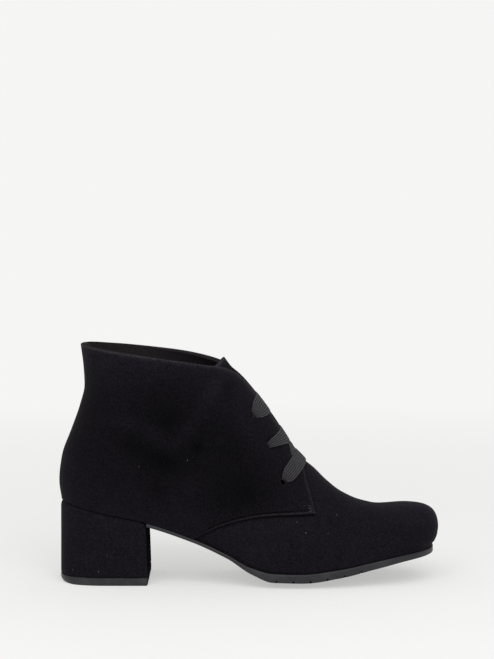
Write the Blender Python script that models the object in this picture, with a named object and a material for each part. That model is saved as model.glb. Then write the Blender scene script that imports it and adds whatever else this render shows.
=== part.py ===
"""A woman's lace-up ankle boot for the right foot, on a covered block heel.

The upper, the quarters and the tongue are all drawn from one last. SECTIONS holds upright slices of that
last from heel to toe, and FRONT, BACK, COLLAR and TIP hold its outline from the side. half_width() turns a
place in the side view into the last's half width there, so every piece follows the same form. +X points to
the toe and -Y to the outer side of the foot. The tables are in millimetres from the back of the heel.
"""

import math
from collections import namedtuple

import bmesh
import bpy
import numpy as np
from mathutils import Matrix, Vector

MM = 0.001
OUTER, INNER = -1, 1

# Leather, gaps and lace
WALL = 1.6
GAP = 0.3
QUARTER_THICK = 1.2
TONGUE_THICK = 1.8
TONGUE_GAP = 1.2
LACE_THICK = 0.9
LACE_GAP = 0.9
LACE_DIP = 3.2  # how far a climbing length sinks into the throat
LACE_DIP_POWER = 0.5  # below 1 the length drops quickly and then runs level
LACE_LAP = 1.0
LACE_SLANT = 0.4
LACE_SPREAD_POWER = 0.8  # below 1 the bar spreads quickly beyond the eyelet

# The last, slice by slice: x is where the slice stands on the sole, top_x where its rib meets the top line.
# The half widths run from ridge_y, the line along the top of the foot, at the feather edge, at the belly and,
# above the heel, at the ankle and the collar. arch_depth and arch_power round the slice over to the ridge.
Section = namedtuple(
    "Section",
    "x top_x feather_z ridge_y out_feather in_feather out_belly in_belly ankle collar arch_depth arch_power",
)
SECTIONS = [
    Section(3.0, 16.2, 53.6, 0.0, 28.0, 28.0, 30.5, 30.5, 31.0, 32.5, 34.0, 2.0),
    Section(30.0, 40.0, 47.9, 0.0, 28.5, 28.5, 31.0, 31.0, 31.6, 33.0, 34.0, 2.0),
    Section(58.0, 64.0, 42.0, 0.0, 28.5, 27.5, 31.5, 30.8, 32.6, 33.5, 34.0, 2.0),
    Section(90.0, 93.0, 31.3, 0.3, 29.8, 25.7, 33.0, 30.0, 34.0, 33.5, 35.0, 2.0),
    Section(112.0, 113.5, 21.8, 1.0, 34.0, 27.5, 37.0, 31.5, 35.5, 33.5, 37.0, 2.0),
    Section(128.0, 136.0, 13.6, 1.8, 38.6, 31.2, 41.0, 34.5, 36.5, 34.0, 40.0, 2.0),
    Section(142.0, 158.0, 10.3, 2.6, 41.9, 34.9, 44.0, 38.0, 38.5, 36.0, 44.0, 2.0),
    Section(160.0, 180.0, 10.0, 3.5, 44.0, 38.5, 45.8, 41.0, 41.0, 40.0, 46.0, 2.0),
    Section(185.0, 203.0, 12.7, 4.5, 43.0, 38.5, 44.5, 40.5, 41.0, 40.0, 42.0, 2.1),
    Section(208.0, 221.0, 17.0, 5.0, 39.0, 34.5, 40.5, 36.2, 38.0, 38.0, 36.0, 2.3),
    Section(230.0, 236.0, 20.8, 5.0, 34.5, 30.0, 35.8, 31.4, 34.0, 34.0, 28.0, 2.5),
    Section(252.0, 248.2, 22.5, 5.0, 31.0, 27.0, 32.0, 28.0, 30.0, 30.0, 27.0, 2.5),
]
BELLY_UP, ANKLE_UP, COLLAR_UP = 15.0, 60.0, 110.0  # how far each half width lies above the feather edge

# The side view: ridge from collar to toe, back seam, collar line and the blunt front of the toe
Point = namedtuple("Point", "x z")
FRONT = [
    Point(113.5, 140.8),
    Point(120.0, 134.9),
    Point(127.4, 126.3),
    Point(142.2, 106.2),
    Point(152.3, 90.4),
    Point(160.0, 80.9),
    Point(169.0, 73.6),
    Point(177.3, 65.4),
    Point(188.0, 56.9),
    Point(200.9, 51.0),
    Point(213.0, 48.8),
    Point(232.0, 49.8),
    Point(275.0, 49.6),
]
BACK = [
    Point(3.0, 53.6),
    Point(1.4, 66.0),
    Point(3.2, 82.0),
    Point(9.7, 100.0),
    Point(15.4, 116.0),
    Point(18.6, 130.0),
    Point(18.0, 142.0),
    Point(16.2, 156.8),
]
COLLAR = [
    Point(16.2, 156.8),
    Point(50.0, 152.9),
    Point(80.0, 148.8),
    Point(98.0, 145.4),
    Point(113.5, 140.8),
]
TIP = [
    Point(247.8, 22.0),
    Point(247.8, 22.8),
    Point(250.2, 26.0),
    Point(251.8, 30.5),
    Point(252.5, 37.0),
    Point(252.5, 60.0),
]
BACK_ROUND = 36.0
TIP_ROUND = 38.0
TOE_CORNER_POWER = 5.0  # how squarely the toe turns from its top into its front
TOE_ROUND_FROM = 214.0
TOE_DEEP = 16.0  # far enough under the ridge to be inside the toe
DEEPEST = 45.0  # no place beside the ridge lies further from it than this
RIB_CROWDING = 14.0  # how much closer ribs stand where the collar turns into the throat
RIB_CROWD_HALF = 3.0

# Quarter: its lower edge from the sole to the point, and its facing from the point up to the ridge
QUARTER_EDGE = [
    Point(72.0, 5.0),
    Point(86.0, 28.8),
    Point(100.0, 37.8),
    Point(111.0, 42.4),
    Point(128.0, 45.4),
    Point(148.0, 46.8),
    Point(170.0, 49.0),
]
FACING_EDGE = [Point(170.0, 49.0), Point(167.6, 58.4), Point(163.8, 69.9), Point(161.0, 84.0)]

# Throat: half width of the slot at each place down the ridge, measured from the collar
ThroatRow = namedtuple("ThroatRow", "down half_width")
THROAT = [ThroatRow(-12.0, 12.0), ThroatRow(0.0, 8.5), ThroatRow(10.0, 6.0), ThroatRow(90.0, 5.0)]
THROAT_END = 76.5

# Lacing: each eyelet pair by its place down the ridge and its distance from the ridge line, with the width of
# its bar at the eyelets and on the ridge, where the soft lace spreads
EyeletRow = namedtuple("EyeletRow", "down half_width lace_end lace_middle")
EYELETS = [
    EyeletRow(32.5, 22.0, 5.5, 15.5),
    EyeletRow(58.0, 26.0, 5.5, 13.5),
    EyeletRow(78.5, 32.0, 7.5, 9.5),
]
EYELET_RADIUS = 2.0
EYELET_SIDES = 10
EYELET_PIN_LENGTH = 10.0

# Tongue: half width and outward lift from its top edge, over the collar, to its hidden root under the vamp
TongueRow = namedtuple("TongueRow", "down half_width lift")
TONGUE = [
    TongueRow(-7.0, 15.0, 6.2),
    TongueRow(0.0, 20.0, 2.0),
    TongueRow(10.0, 22.0, 0.4),
    TongueRow(20.0, 22.0, 0.0),
    TongueRow(40.0, 20.0, 0.0),
    TongueRow(90.0, 15.0, 0.0),
]
TONGUE_PEAK_HALF = 7.0  # the lift is all in the middle, where the throat leaves the tongue free

# Sole: thickness at the edge, drop of the middle below the edge, and margin beyond the feather edge
SoleRow = namedtuple("SoleRow", "x edge_thick crown margin")
SOLE = [
    SoleRow(58.9, 2.3, 0.0, 2.0),
    SoleRow(90.0, 2.3, 0.0, 1.6),
    SoleRow(112.0, 2.6, 0.6, 1.2),
    SoleRow(128.0, 4.2, 2.0, 1.0),
    SoleRow(141.0, 5.8, 4.2, 1.0),
    SoleRow(155.0, 5.8, 4.0, 1.0),
    SoleRow(170.0, 5.8, 4.9, 1.0),
    SoleRow(190.0, 5.4, 3.4, 1.0),
    SoleRow(215.0, 4.6, 2.2, 1.0),
    SoleRow(252.0, 3.4, 0.4, 1.0),
]
CROWN_FLAT_SHARE = 0.3  # the middle share of the sole's width that lies flat
CROWN_POWER = 1.3
SOLE_SHARES = np.array([0.0, 0.12, 0.23, 0.35, 0.65, 0.77, 0.88, 1.0])  # the sole's lines, side to side
WAIST_END_X = 132.0
BALL_FROM_X, BALL_END_X = 136.5, 226.0
TOE_FROM_X = 232.0
TOE_CROWDING = 1.2  # how the sole's rows close up towards the toe
GROOVE_CLEAR = 2.0  # no plain row stands this close to a groove
GROOVE_FIRST_X = 144.0
GROOVE_PITCH = 11.0
GROOVE_COUNT = 6
GROOVE_WIDTH = 1.6
GROOVE_DEPTH = 1.2
GROOVE_SLOPE = 0.2

# Heel: block, top piece and the bevel where the top piece meets the ground at the back
HEEL_MARGIN = 2.0
BREAST_TOP_X = 58.4
BREAST_FOOT_X = 59.6
HEEL_TAPER = 1.2
TOP_PIECE_THICK = 5.2
HEEL_SQUARE = 3.0  # power of the foot's plan round the back, where the seat's is 2
HEEL_BEVEL = 1.5
HEEL_BEVEL_REACH = 9.0
HEEL_BEVEL_POWER = 1.5
HEEL_BEVEL_FROM = 0.55  # share of the top piece's height where the bevel begins
HEEL_BEVEL_NARROW = 0.12

INSOLE_THICK = 2.4
INSOLE_GAP = 0.9
END_STEP = 0.04  # outlines stop this short of the seam and the toe, where they turn straight across
SHARP_EDGE = math.radians(40)

Finish = namedtuple("Finish", "name colour roughness")
BLACK_SUEDE = Finish("black_suede", (0.010, 0.009, 0.011), 0.95)
DARK_LINING = Finish("dark_lining", (0.018, 0.017, 0.018), 0.75)
SOLE_RUBBER = Finish("sole_rubber", (0.030, 0.030, 0.031), 0.55)
LACE_COTTON = Finish("lace_cotton", (0.032, 0.031, 0.034), 0.85)


def smooth(knots, values, where):
    """Cubic curve through the values that never swings past a row. values may hold a column per place."""
    knots = np.asarray(knots, float)
    where = np.clip(np.asarray(where, float), knots[0], knots[-1])
    values = np.asarray(values, float)
    if values.ndim == 1:
        values = np.repeat(values[:, None], where.size, axis=1)
    step = np.diff(knots)[:, None]
    rise = np.diff(values, axis=0) / step
    slope = np.empty_like(values)
    slope[0], slope[-1] = rise[0], rise[-1]
    same_way = rise[:-1] * rise[1:] > 0
    safe = np.where(same_way, rise[:-1] + rise[1:], 1.0)
    slope[1:-1] = np.where(same_way, 2 * rise[:-1] * rise[1:] / safe, 0.0)
    flat = where.ravel()
    low = np.clip(np.searchsorted(knots, flat, side="right") - 1, 0, len(knots) - 2)
    each = np.arange(flat.size)
    width = step[low, 0]
    t = (flat - knots[low]) / width
    start, end = values[low, each], values[low + 1, each]
    leave, arrive = slope[low, each] * width, slope[low + 1, each] * width
    eased = t * t * (3 - 2 * t)
    curve = start + (end - start) * eased + leave * t * (1 - t) ** 2 - arrive * t * t * (1 - t)
    return curve.reshape(where.shape)


def column(rows, name):
    return [getattr(row, name) for row in rows]


def read(rows, name, where, by="x"):
    return smooth(column(rows, by), column(rows, name), where)


def walked(x, z):
    """Distance along a line to each of its points."""
    return np.concatenate([[0.0], np.cumsum(np.hypot(np.diff(x), np.diff(z)))])


def traced(points, spacing):
    """Evenly spaced places along a smooth line through the points."""
    x, z = np.array(column(points, "x")), np.array(column(points, "z"))
    along = walked(x, z)
    at = np.linspace(0, along[-1], max(2, round(along[-1] / spacing)) + 1)
    return smooth(along, x, at), smooth(along, z, at)


def feather_z(x):
    return read(SECTIONS, "feather_z", x)


def ridge_y(x):
    return read(SECTIONS, "ridge_y", x)


FRONT_SPACING = 0.5
FRONT_LINE = traced(FRONT, FRONT_SPACING)


def front_depth(x, z):
    """How far each place lies from the ridge line, seen from the side."""
    line_x, line_z = FRONT_LINE
    px, pz = np.ravel(x)[:, None], np.ravel(z)[:, None]
    run_x, run_z = np.diff(line_x), np.diff(line_z)
    share = ((px - line_x[:-1]) * run_x + (pz - line_z[:-1]) * run_z) / (run_x**2 + run_z**2)
    share[:, 1:] = np.clip(share[:, 1:], 0, None)  # the line runs on past the collar
    share = np.minimum(share, 1)
    away = np.hypot(px - line_x[:-1] - share * run_x, pz - line_z[:-1] - share * run_z)
    return away.min(axis=1).reshape(np.shape(x))


def edge_share(x, z):
    """0 well inside the side view, 1 on its ridge, back seam and toe."""
    front = 1 - front_depth(x, z) / read(SECTIONS, "arch_depth", x)
    tip = 1 - (smooth(column(TIP, "z"), column(TIP, "x"), z) - x) / TIP_ROUND
    back = 1 - (x - smooth(column(BACK, "z"), column(BACK, "x"), z)) / BACK_ROUND
    total = sum(np.clip(share, 0, None) ** TOE_CORNER_POWER for share in (front, tip, back))
    return total ** (1 / TOE_CORNER_POWER)


def half_width(x, z, side):
    """The last's half width at a place in the side view, from the ridge line to the outer or inner side."""
    x, z = np.asarray(x, float), np.asarray(z, float)
    names = ("out_feather", "out_belly") if side == OUTER else ("in_feather", "in_belly")
    widths = np.stack([np.ravel(read(SECTIONS, name, x)) for name in (*names, "ankle", "collar")])
    up = np.ravel(z - feather_z(x))
    full = smooth([0.0, BELLY_UP, ANKLE_UP, COLLAR_UP], widths, up).reshape(x.shape)
    power = read(SECTIONS, "arch_power", x)
    return full * np.clip(1 - edge_share(x, z) ** power, 0, None) ** (1 / power)


def bisect(inside, low, high):
    """The place between low, where inside() holds, and high, where it doesn't."""
    for _ in range(40):
        middle = (low + high) / 2
        held = inside(middle)
        low, high = np.where(held, middle, low), np.where(held, high, middle)
    return low


def top_z(x):
    """Height of the top line: the collar, then the ridge, then the turn of the toe."""
    collar = smooth(column(COLLAR, "x"), column(COLLAR, "z"), x)
    ridge = np.interp(x, *FRONT_LINE)
    turn = bisect(lambda z: edge_share(x, z) < 1, ridge - TOE_DEEP, ridge)
    return np.where(x <= COLLAR[-1].x, collar, np.where(x < TOE_ROUND_FROM, ridge, turn))


def toe_front():
    """The furthest place forward on the feather edge."""
    return float(smooth(column(TIP, "z"), column(TIP, "x"), SECTIONS[-1].feather_z))


def rib_grid(columns, rows):
    """Places in the side view, a rib per column from the feather edge up to the top line."""
    across = (1 - np.cos(np.linspace(0, math.pi, columns + 1))) / 2
    up = np.sin(np.linspace(0, math.pi / 2, rows + 1))
    fine_steps, toe_reach = 300, TIP_ROUND + 4
    collar_front = next(s.x for s in SECTIONS if s.top_x == COLLAR[-1].x)
    fine_x = np.linspace(SECTIONS[0].x, toe_front(), fine_steps)
    fine_top = read(SECTIONS, "top_x", fine_x)
    travel = walked(fine_x, feather_z(fine_x)) + walked(fine_top, top_z(fine_top))
    travel += RIB_CROWDING * np.arctan((fine_x - collar_front) / RIB_CROWD_HALF)
    foot_x = np.interp(travel[0] + across * (travel[-1] - travel[0]), travel, fine_x)
    foot_x[np.abs(foot_x - collar_front).argmin()] = collar_front
    over_x = read(SECTIONS, "top_x", foot_x)
    over_x[-1] = SECTIONS[-1].top_x
    foot, over = np.stack([foot_x, feather_z(foot_x)]), np.stack([over_x, top_z(over_x)])
    back_z = BACK[0].z + (BACK[-1].z - BACK[0].z) * up
    back = np.stack([smooth(column(BACK, "z"), column(BACK, "x"), back_z), back_z])
    toe_z = foot[1, -1] + (over[1, -1] - foot[1, -1]) * up
    toe_low = np.full(toe_z.shape, TOE_ROUND_FROM)
    toe = np.stack([bisect(lambda x: edge_share(x, toe_z) < 1, toe_low, toe_low + toe_reach), toe_z])
    u, v = across[:, None], up[None, :]
    ruled = foot[:, :, None] * (1 - v) + over[:, :, None] * v
    ends = back[:, None, :] * (1 - u) + toe[:, None, :] * u
    corners = (
        foot[:, :1, None] * (1 - u) * (1 - v)
        + foot[:, -1:, None] * u * (1 - v)
        + over[:, :1, None] * (1 - u) * v
        + over[:, -1:, None] * u * v
    )
    return ruled + ends - corners


class Sheet:
    """The last's surface: points, faces and normals, each face's side and which points lie on a rim."""

    def __init__(self, columns, rows):
        x, z = rib_grid(columns, rows)
        self.points, self.faces, self.sides, self.rim = [], [], [], []
        index = {}
        for side in (OUTER, INNER):
            width = half_width(x, z, side)
            for i in range(columns + 1):
                for j in range(rows + 1):
                    open_top = j == rows and x[i, j] < COLLAR[-1].x - GAP
                    shared = i in (0, columns) or (j == rows and not open_top)
                    if shared and side == INNER:
                        index[side, i, j] = index[OUTER, i, j]
                        continue
                    y = float(ridge_y(x[i, j])) + (0 if shared else side * width[i, j])
                    index[side, i, j] = len(self.points)
                    self.points.append((x[i, j], y, z[i, j]))
                    self.rim.append(j == 0 or open_top)
            for i in range(columns):
                for j in range(rows):
                    corners = (i, j), (i + 1, j), (i + 1, j + 1), (i, j + 1)
                    a, b, c, d = (index[side, *corner] for corner in corners)
                    for ring in ([a, b, c], [a, c, d]):
                        self.faces.append(ring if side == OUTER else ring[::-1])
                        self.sides.append(side)
        self.points = np.array(self.points)
        self.normals = self.point_normals()

    def point_normals(self):
        mesh = bmesh.new()
        points = [mesh.verts.new(p) for p in self.points]
        for face in self.faces:
            mesh.faces.new([points[k] for k in face])
        mesh.normal_update()
        normals = np.array([v.normal for v in mesh.verts])
        mesh.free()
        rim = np.array(self.rim)
        normals[rim, 2] = 0  # a rim keeps its height, so that it lies flat on what it meets
        return normals / np.linalg.norm(normals, axis=1)[:, None]

    def shell(self, name, inside, outside, side=None):
        """A closed wall between two offsets from the last."""
        faces = [f for f, s in zip(self.faces, self.sides) if side in (None, s)]
        layers = [self.points + self.normals * offset for offset in (inside, outside)]
        return closed_wall(name, *layers, faces)


def closed_wall(name, inside, outside, faces):
    """One solid from two layers of the same points: both skins, joined along every free edge."""
    mesh = bmesh.new()
    used = sorted({k for face in faces for k in face})
    low = {k: mesh.verts.new(inside[k] * MM) for k in used}
    high = {k: mesh.verts.new(outside[k] * MM) for k in used}
    ways = {}
    for face in faces:
        mesh.faces.new([high[k] for k in face])
        mesh.faces.new([low[k] for k in reversed(face)])
        for start, end in zip(face, face[1:] + face[:1]):
            ways[start, end] = (end, start) not in ways
            if not ways[start, end]:
                ways[end, start] = False
    for (start, end), free in ways.items():
        if free:
            mesh.faces.new([high[end], high[start], low[start], low[end]])
    return finished(name, mesh)


def finished(name, mesh):
    """A named object from a bmesh, with its normals outward and its round faces smooth."""
    bmesh.ops.recalc_face_normals(mesh, faces=mesh.faces)
    data = bpy.data.meshes.new(name)
    mesh.to_mesh(data)
    mesh.free()
    data.shade_smooth()
    data.set_sharp_from_angle(angle=SHARP_EDGE)
    thing = bpy.data.objects.new(name, data)
    bpy.context.scene.collection.objects.link(thing)
    return thing


def cutter(thing):
    thing.hide_render = True
    thing.display_type = "WIRE"
    return thing


def carve(thing, operation, tool):
    step = thing.modifiers.new(tool.name, "BOOLEAN")
    step.operation = operation
    step.object = tool
    step.solver = "EXACT"


def paint(thing, finish):
    material = bpy.data.materials.new(f"{thing.name}_{finish.name}")
    material.use_nodes = True
    shader = material.node_tree.nodes["Principled BSDF"]
    shader.inputs["Base Color"].default_value = (*finish.colour, 1)
    shader.inputs["Roughness"].default_value = finish.roughness
    shader.inputs["Metallic"].default_value = 0
    thing.data.materials.append(material)


def ridge_place(down):
    """A place on the ridge line by its distance down from the collar, with the outward direction there."""
    line_x, line_z = FRONT_LINE
    at = down / FRONT_SPACING
    low = np.clip(np.floor(at).astype(int), 0, len(line_x) - 2)
    share = at - low
    run_x, run_z = line_x[low + 1] - line_x[low], line_z[low + 1] - line_z[low]
    length = np.hypot(run_x, run_z)
    return line_x[low] + share * run_x, line_z[low] + share * run_z, -run_z / length, run_x / length


def instep_point(down, aside):
    """The last's surface beside the ridge: down from the collar, and aside with the outer side negative."""
    down, aside = np.broadcast_arrays(np.asarray(down, float), np.asarray(aside, float))
    x, z, out_x, out_z = ridge_place(down)
    width = np.abs(aside)

    def narrower(depth):
        at_x, at_z = x - out_x * depth, z - out_z * depth
        outer, inner = half_width(at_x, at_z, OUTER), half_width(at_x, at_z, INNER)
        return np.where(aside < 0, outer, inner) < width

    depth = bisect(narrower, np.zeros(down.shape), np.full(down.shape, DEEPEST))
    at_x, at_z = x - out_x * depth, z - out_z * depth
    return np.stack([at_x, ridge_y(at_x) + aside, at_z], axis=-1)


def instep_normal(down, aside):
    """Outward direction of the surface beside the ridge."""
    step = 0.5
    along = instep_point(down + step, aside) - instep_point(down - step, aside)
    over = instep_point(down, aside + step) - instep_point(down, aside - step)
    normal = np.cross(over, along)
    normal *= np.sign(normal[..., :1] + normal[..., 2:])
    return normal / np.linalg.norm(normal, axis=-1, keepdims=True)


def instep_plate(name, down, aside, low, high):
    """A closed plate over a grid of places beside the ridge, between two offsets from the last."""
    points, normals = instep_point(down, aside), instep_normal(down, aside)
    rows, columns = down.shape
    faces = [
        [r * columns + c, (r + 1) * columns + c, (r + 1) * columns + c + 1, r * columns + c + 1]
        for r in range(rows - 1)
        for c in range(columns - 1)
    ]
    inside = (points + normals * np.asarray(low)[..., None]).reshape(-1, 3)
    outside = (points + normals * np.asarray(high)[..., None]).reshape(-1, 3)
    return closed_wall(name, inside, outside, faces)


def throat_cutter():
    """A tapering bar along the ridge that opens the throat from the collar down to the vamp."""
    outward, inward, stations = 8.0, 16.0, 12
    down = np.linspace(THROAT[0].down, THROAT_END, stations)
    x, z, out_x, out_z = ridge_place(down)
    half = read(THROAT, "half_width", down, by="down")
    mesh = bmesh.new()
    rings = []
    for k in range(stations):
        corners = [(outward, -1), (outward, 1), (-inward, 1), (-inward, -1)]
        ring = [
            (x[k] + out_x[k] * off, float(ridge_y(x[k])) + hand * half[k], z[k] + out_z[k] * off)
            for off, hand in corners
        ]
        rings.append([mesh.verts.new(Vector(p) * MM) for p in ring])
    for one, two in zip(rings, rings[1:]):
        for k in range(4):
            mesh.faces.new([one[k], one[(k + 1) % 4], two[(k + 1) % 4], two[k]])
    mesh.faces.new(rings[0][::-1])
    mesh.faces.new(rings[-1])
    return cutter(finished("throat_bar", mesh))


def eyelet_cutter():
    """Six short pins through the walls, square to the surface at each eyelet."""
    mesh = bmesh.new()
    for row in EYELETS:
        for side in (OUTER, INNER):
            aside = side * row.half_width
            centre = instep_point(row.down, aside)
            turn = Vector((0, 0, 1)).rotation_difference(Vector(instep_normal(row.down, aside)))
            bmesh.ops.create_cone(
                mesh,
                cap_ends=True,
                segments=EYELET_SIDES,
                radius1=EYELET_RADIUS * MM,
                radius2=EYELET_RADIUS * MM,
                depth=EYELET_PIN_LENGTH * MM,
                matrix=Matrix.Translation(Vector(centre) * MM) @ turn.to_matrix().to_4x4(),
            )
    return cutter(finished("eyelet_pins", mesh))


def quarter_cutter(side):
    """The quarter's outline from the side, drawn through half the boot."""
    lower_spacing, facing_spacing = 7.0, 5.0
    behind, ahead, above = -20.0, 200.0, 180.0  # clear of the boot
    lower_x, lower_z = traced(QUARTER_EDGE, lower_spacing)
    facing_x, facing_z = traced(FACING_EDGE, facing_spacing)
    outline = [(behind, lower_z[0]), *zip(lower_x, lower_z), *list(zip(facing_x, facing_z))[1:]]
    outline += [(ahead, facing_z[-1]), (ahead, above), (behind, above)]
    seam, beyond = side * GAP / 2, side * 80.0
    mesh = bmesh.new()
    face = mesh.faces.new([mesh.verts.new(Vector((x, seam, z)) * MM) for x, z in outline])
    grown = bmesh.ops.extrude_face_region(mesh, geom=[face])
    moved = [part for part in grown["geom"] if isinstance(part, bmesh.types.BMVert)]
    bmesh.ops.translate(mesh, verts=moved, vec=(0, (beyond - seam) * MM, 0))
    return cutter(finished("quarter_outline_" + ("outer" if side == OUTER else "inner"), mesh))


def make_upper(sheet, slot, pins):
    upper = sheet.shell("upper", -WALL, 0.0)
    carve(upper, "DIFFERENCE", slot)
    carve(upper, "DIFFERENCE", pins)
    paint(upper, BLACK_SUEDE)
    return upper


def make_quarter(sheet, side, slot, pins):
    name = "quarter_outer" if side == OUTER else "quarter_inner"
    quarter = sheet.shell(name, GAP, GAP + QUARTER_THICK, side)
    carve(quarter, "INTERSECT", quarter_cutter(side))
    carve(quarter, "DIFFERENCE", slot)
    carve(quarter, "DIFFERENCE", pins)
    paint(quarter, BLACK_SUEDE)
    return quarter


def make_tongue():
    rows, columns = 12, 12
    down = np.linspace(TONGUE[0].down, TONGUE[-1].down, rows + 1)
    half = read(TONGUE, "half_width", down, by="down")
    aside = half[:, None] * np.linspace(-1, 1, columns + 1)[None, :]
    down = np.repeat(down[:, None], columns + 1, axis=1)
    peak = np.clip(1 - (aside / TONGUE_PEAK_HALF) ** 2, 0, None)
    low = read(TONGUE, "lift", down, by="down") * peak - WALL - TONGUE_GAP - TONGUE_THICK
    tongue = instep_plate("tongue", down, aside, low, low + TONGUE_THICK)
    paint(tongue, BLACK_SUEDE)
    return tongue


def lace_strip(name, start, end, ends_width, middle_width, lift, dip=0.0):
    """A flat length of lace between two places beside the ridge, spreading and dipping on its way."""
    steps = 14
    share = np.linspace(0, 1, steps + 1)
    down = start[0] + (end[0] - start[0]) * share
    aside = start[1] + (end[1] - start[1]) * share
    lean = math.atan2(end[0] - start[0], end[1] - start[1])
    spread = (1 - np.abs(2 * share - 1)) ** LACE_SPREAD_POWER
    width = ends_width + (middle_width - ends_width) * spread
    across = np.array([-0.5, -0.25, 0.0, 0.25, 0.5])[None, :] * width[:, None]
    grid_down = down[:, None] + across * math.cos(lean)
    grid_aside = aside[:, None] - across * math.sin(lean)
    sunk = dip * np.sin(share * math.pi).clip(0) ** LACE_DIP_POWER
    height = np.repeat((lift - sunk)[:, None], across.shape[1], axis=1)
    return instep_plate(name, grid_down, grid_aside, height, height + LACE_THICK)


def make_lace():
    """Three bars over the facings, joined in the throat by the lengths that climb from bar to bar."""
    over = GAP + QUARTER_THICK + LACE_GAP
    slack = 2 * GAP  # each side of a length that runs down the throat
    inside = 2 * (THROAT[-1].half_width - slack) - 2 * LACE_SLANT
    strips = []
    for row in EYELETS:
        ends = (row.down, -row.half_width), (row.down, row.half_width)
        strips.append(lace_strip("lace_bar", *ends, row.lace_end, row.lace_middle, over))
    for above, below in zip(EYELETS, EYELETS[1:]):
        foot = below.down - below.lace_middle / 2 + LACE_LAP
        head = above.down + above.lace_middle / 2 - LACE_LAP
        ends = (foot, LACE_SLANT), (head, -LACE_SLANT)
        strips.append(lace_strip("lace_climb", *ends, inside, inside, over - LACE_THICK / 2, LACE_DIP))
    lace = strips[0]
    lace.name = lace.data.name = "lace"
    for strip in strips[1:]:
        carve(lace, "UNION", cutter(strip))
    paint(lace, LACE_COTTON)
    return lace


def feather_outline(x, margin):
    """Outer and inner sides of the feather edge, seen from above, set out by a margin."""
    z = feather_z(x)
    sides = []
    for side in (OUTER, INNER):
        y = ridge_y(x) + side * half_width(x, z, side)
        run_x, run_y = np.gradient(x), np.gradient(y)
        length = np.hypot(run_x, run_y)
        sides.append((x - side * run_y / length * margin, y + side * run_x / length * margin))
    return sides


def strip_solid(name, edges, shares, top_z_rows, under_z_rows):
    """A sole from rows of points: edges gives each row's two ends, shares the lines between underneath."""
    mesh = bmesh.new()
    (outer_x, outer_y), (inner_x, inner_y) = edges
    rows = []
    for k in range(len(outer_x)):
        row_x = outer_x[k] + (inner_x[k] - outer_x[k]) * shares
        row_y = outer_y[k] + (inner_y[k] - outer_y[k]) * shares
        top = [mesh.verts.new(Vector((row_x[e], row_y[e], top_z_rows[k])) * MM) for e in (0, -1)]
        under = [mesh.verts.new(Vector(p) * MM) for p in zip(row_x, row_y, under_z_rows[k])]
        rows.append((top, under))
    for (top, under), (next_top, next_under) in zip(rows, rows[1:]):
        mesh.faces.new([top[0], next_top[0], next_top[1], top[1]])
        mesh.faces.new([top[0], under[0], next_under[0], next_top[0]])
        mesh.faces.new([top[1], next_top[1], next_under[-1], under[-1]])
        for c in range(len(shares) - 1):
            mesh.faces.new([under[c], under[c + 1], next_under[c + 1], next_under[c]])
    for top, under in (rows[0], rows[-1]):
        mesh.faces.new([top[0], top[1], *reversed(under)])
    return finished(name, mesh)


def groove_stations():
    """Where along the sole each tread groove starts, reaches its floor, leaves it and ends."""
    half = GROOVE_WIDTH / 2
    centres = GROOVE_FIRST_X + GROOVE_PITCH * np.arange(GROOVE_COUNT)
    return [(c - half, c - half + GROOVE_SLOPE, c + half - GROOVE_SLOPE, c + half) for c in centres]


def make_outsole():
    """Sole from the heel's breast to the toe: thin at the waist, crowned and grooved under the ball."""
    waist_rows, ball_rows, toe_rows = 11, 12, 9
    toe_x = toe_front() - END_STEP
    waist = np.linspace(SOLE[0].x, WAIST_END_X, waist_rows)
    plain = list(np.linspace(BALL_FROM_X, BALL_END_X, ball_rows))
    left = 1 - np.sin(np.linspace(0, math.pi / 2, toe_rows))
    toe = toe_x - (toe_x - TOE_FROM_X) * left**TOE_CROWDING
    floors = {}
    for begin, down, up, end in groove_stations():
        floors.update({begin: 0.0, down: GROOVE_DEPTH, up: GROOVE_DEPTH, end: 0.0})
        plain = [x for x in plain if x < begin - GROOVE_CLEAR or x > end + GROOVE_CLEAR]
    stations = np.array(sorted([*waist, *plain, *floors, *toe]))
    raised = np.array([floors.get(x, 0.0) for x in stations])
    margin = read(SOLE, "margin", stations)
    edges = feather_outline(stations, margin)
    top = feather_z(stations) - GAP
    edge = top - read(SOLE, "edge_thick", stations)
    crown = read(SOLE, "crown", stations)
    out = np.clip(np.abs(SOLE_SHARES - 0.5) * 2 - CROWN_FLAT_SHARE, 0, None) / (1 - CROWN_FLAT_SHARE)
    under = np.maximum(edge[:, None] - crown[:, None] * (1 - out**CROWN_POWER), 0.0) + raised[:, None]
    outsole = strip_solid("outsole", edges, SOLE_SHARES, top, under)
    paint(outsole, SOLE_RUBBER)
    return outsole


def make_insole():
    rows = 24
    start, end = SECTIONS[0].x + INSOLE_GAP, toe_front() - INSOLE_GAP
    stations = start + (end - start) * (1 - np.cos(np.linspace(0, math.pi, rows + 1))) / 2
    edges = feather_outline(stations, -WALL - INSOLE_GAP)
    shares = np.array([0.0, 0.5, 1.0])
    under = feather_z(stations) + GAP
    flat = np.repeat(under[:, None], shares.size, axis=1)
    insole = strip_solid("insole", edges, shares, under + INSOLE_THICK, flat)
    paint(insole, DARK_LINING)
    return insole


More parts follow.
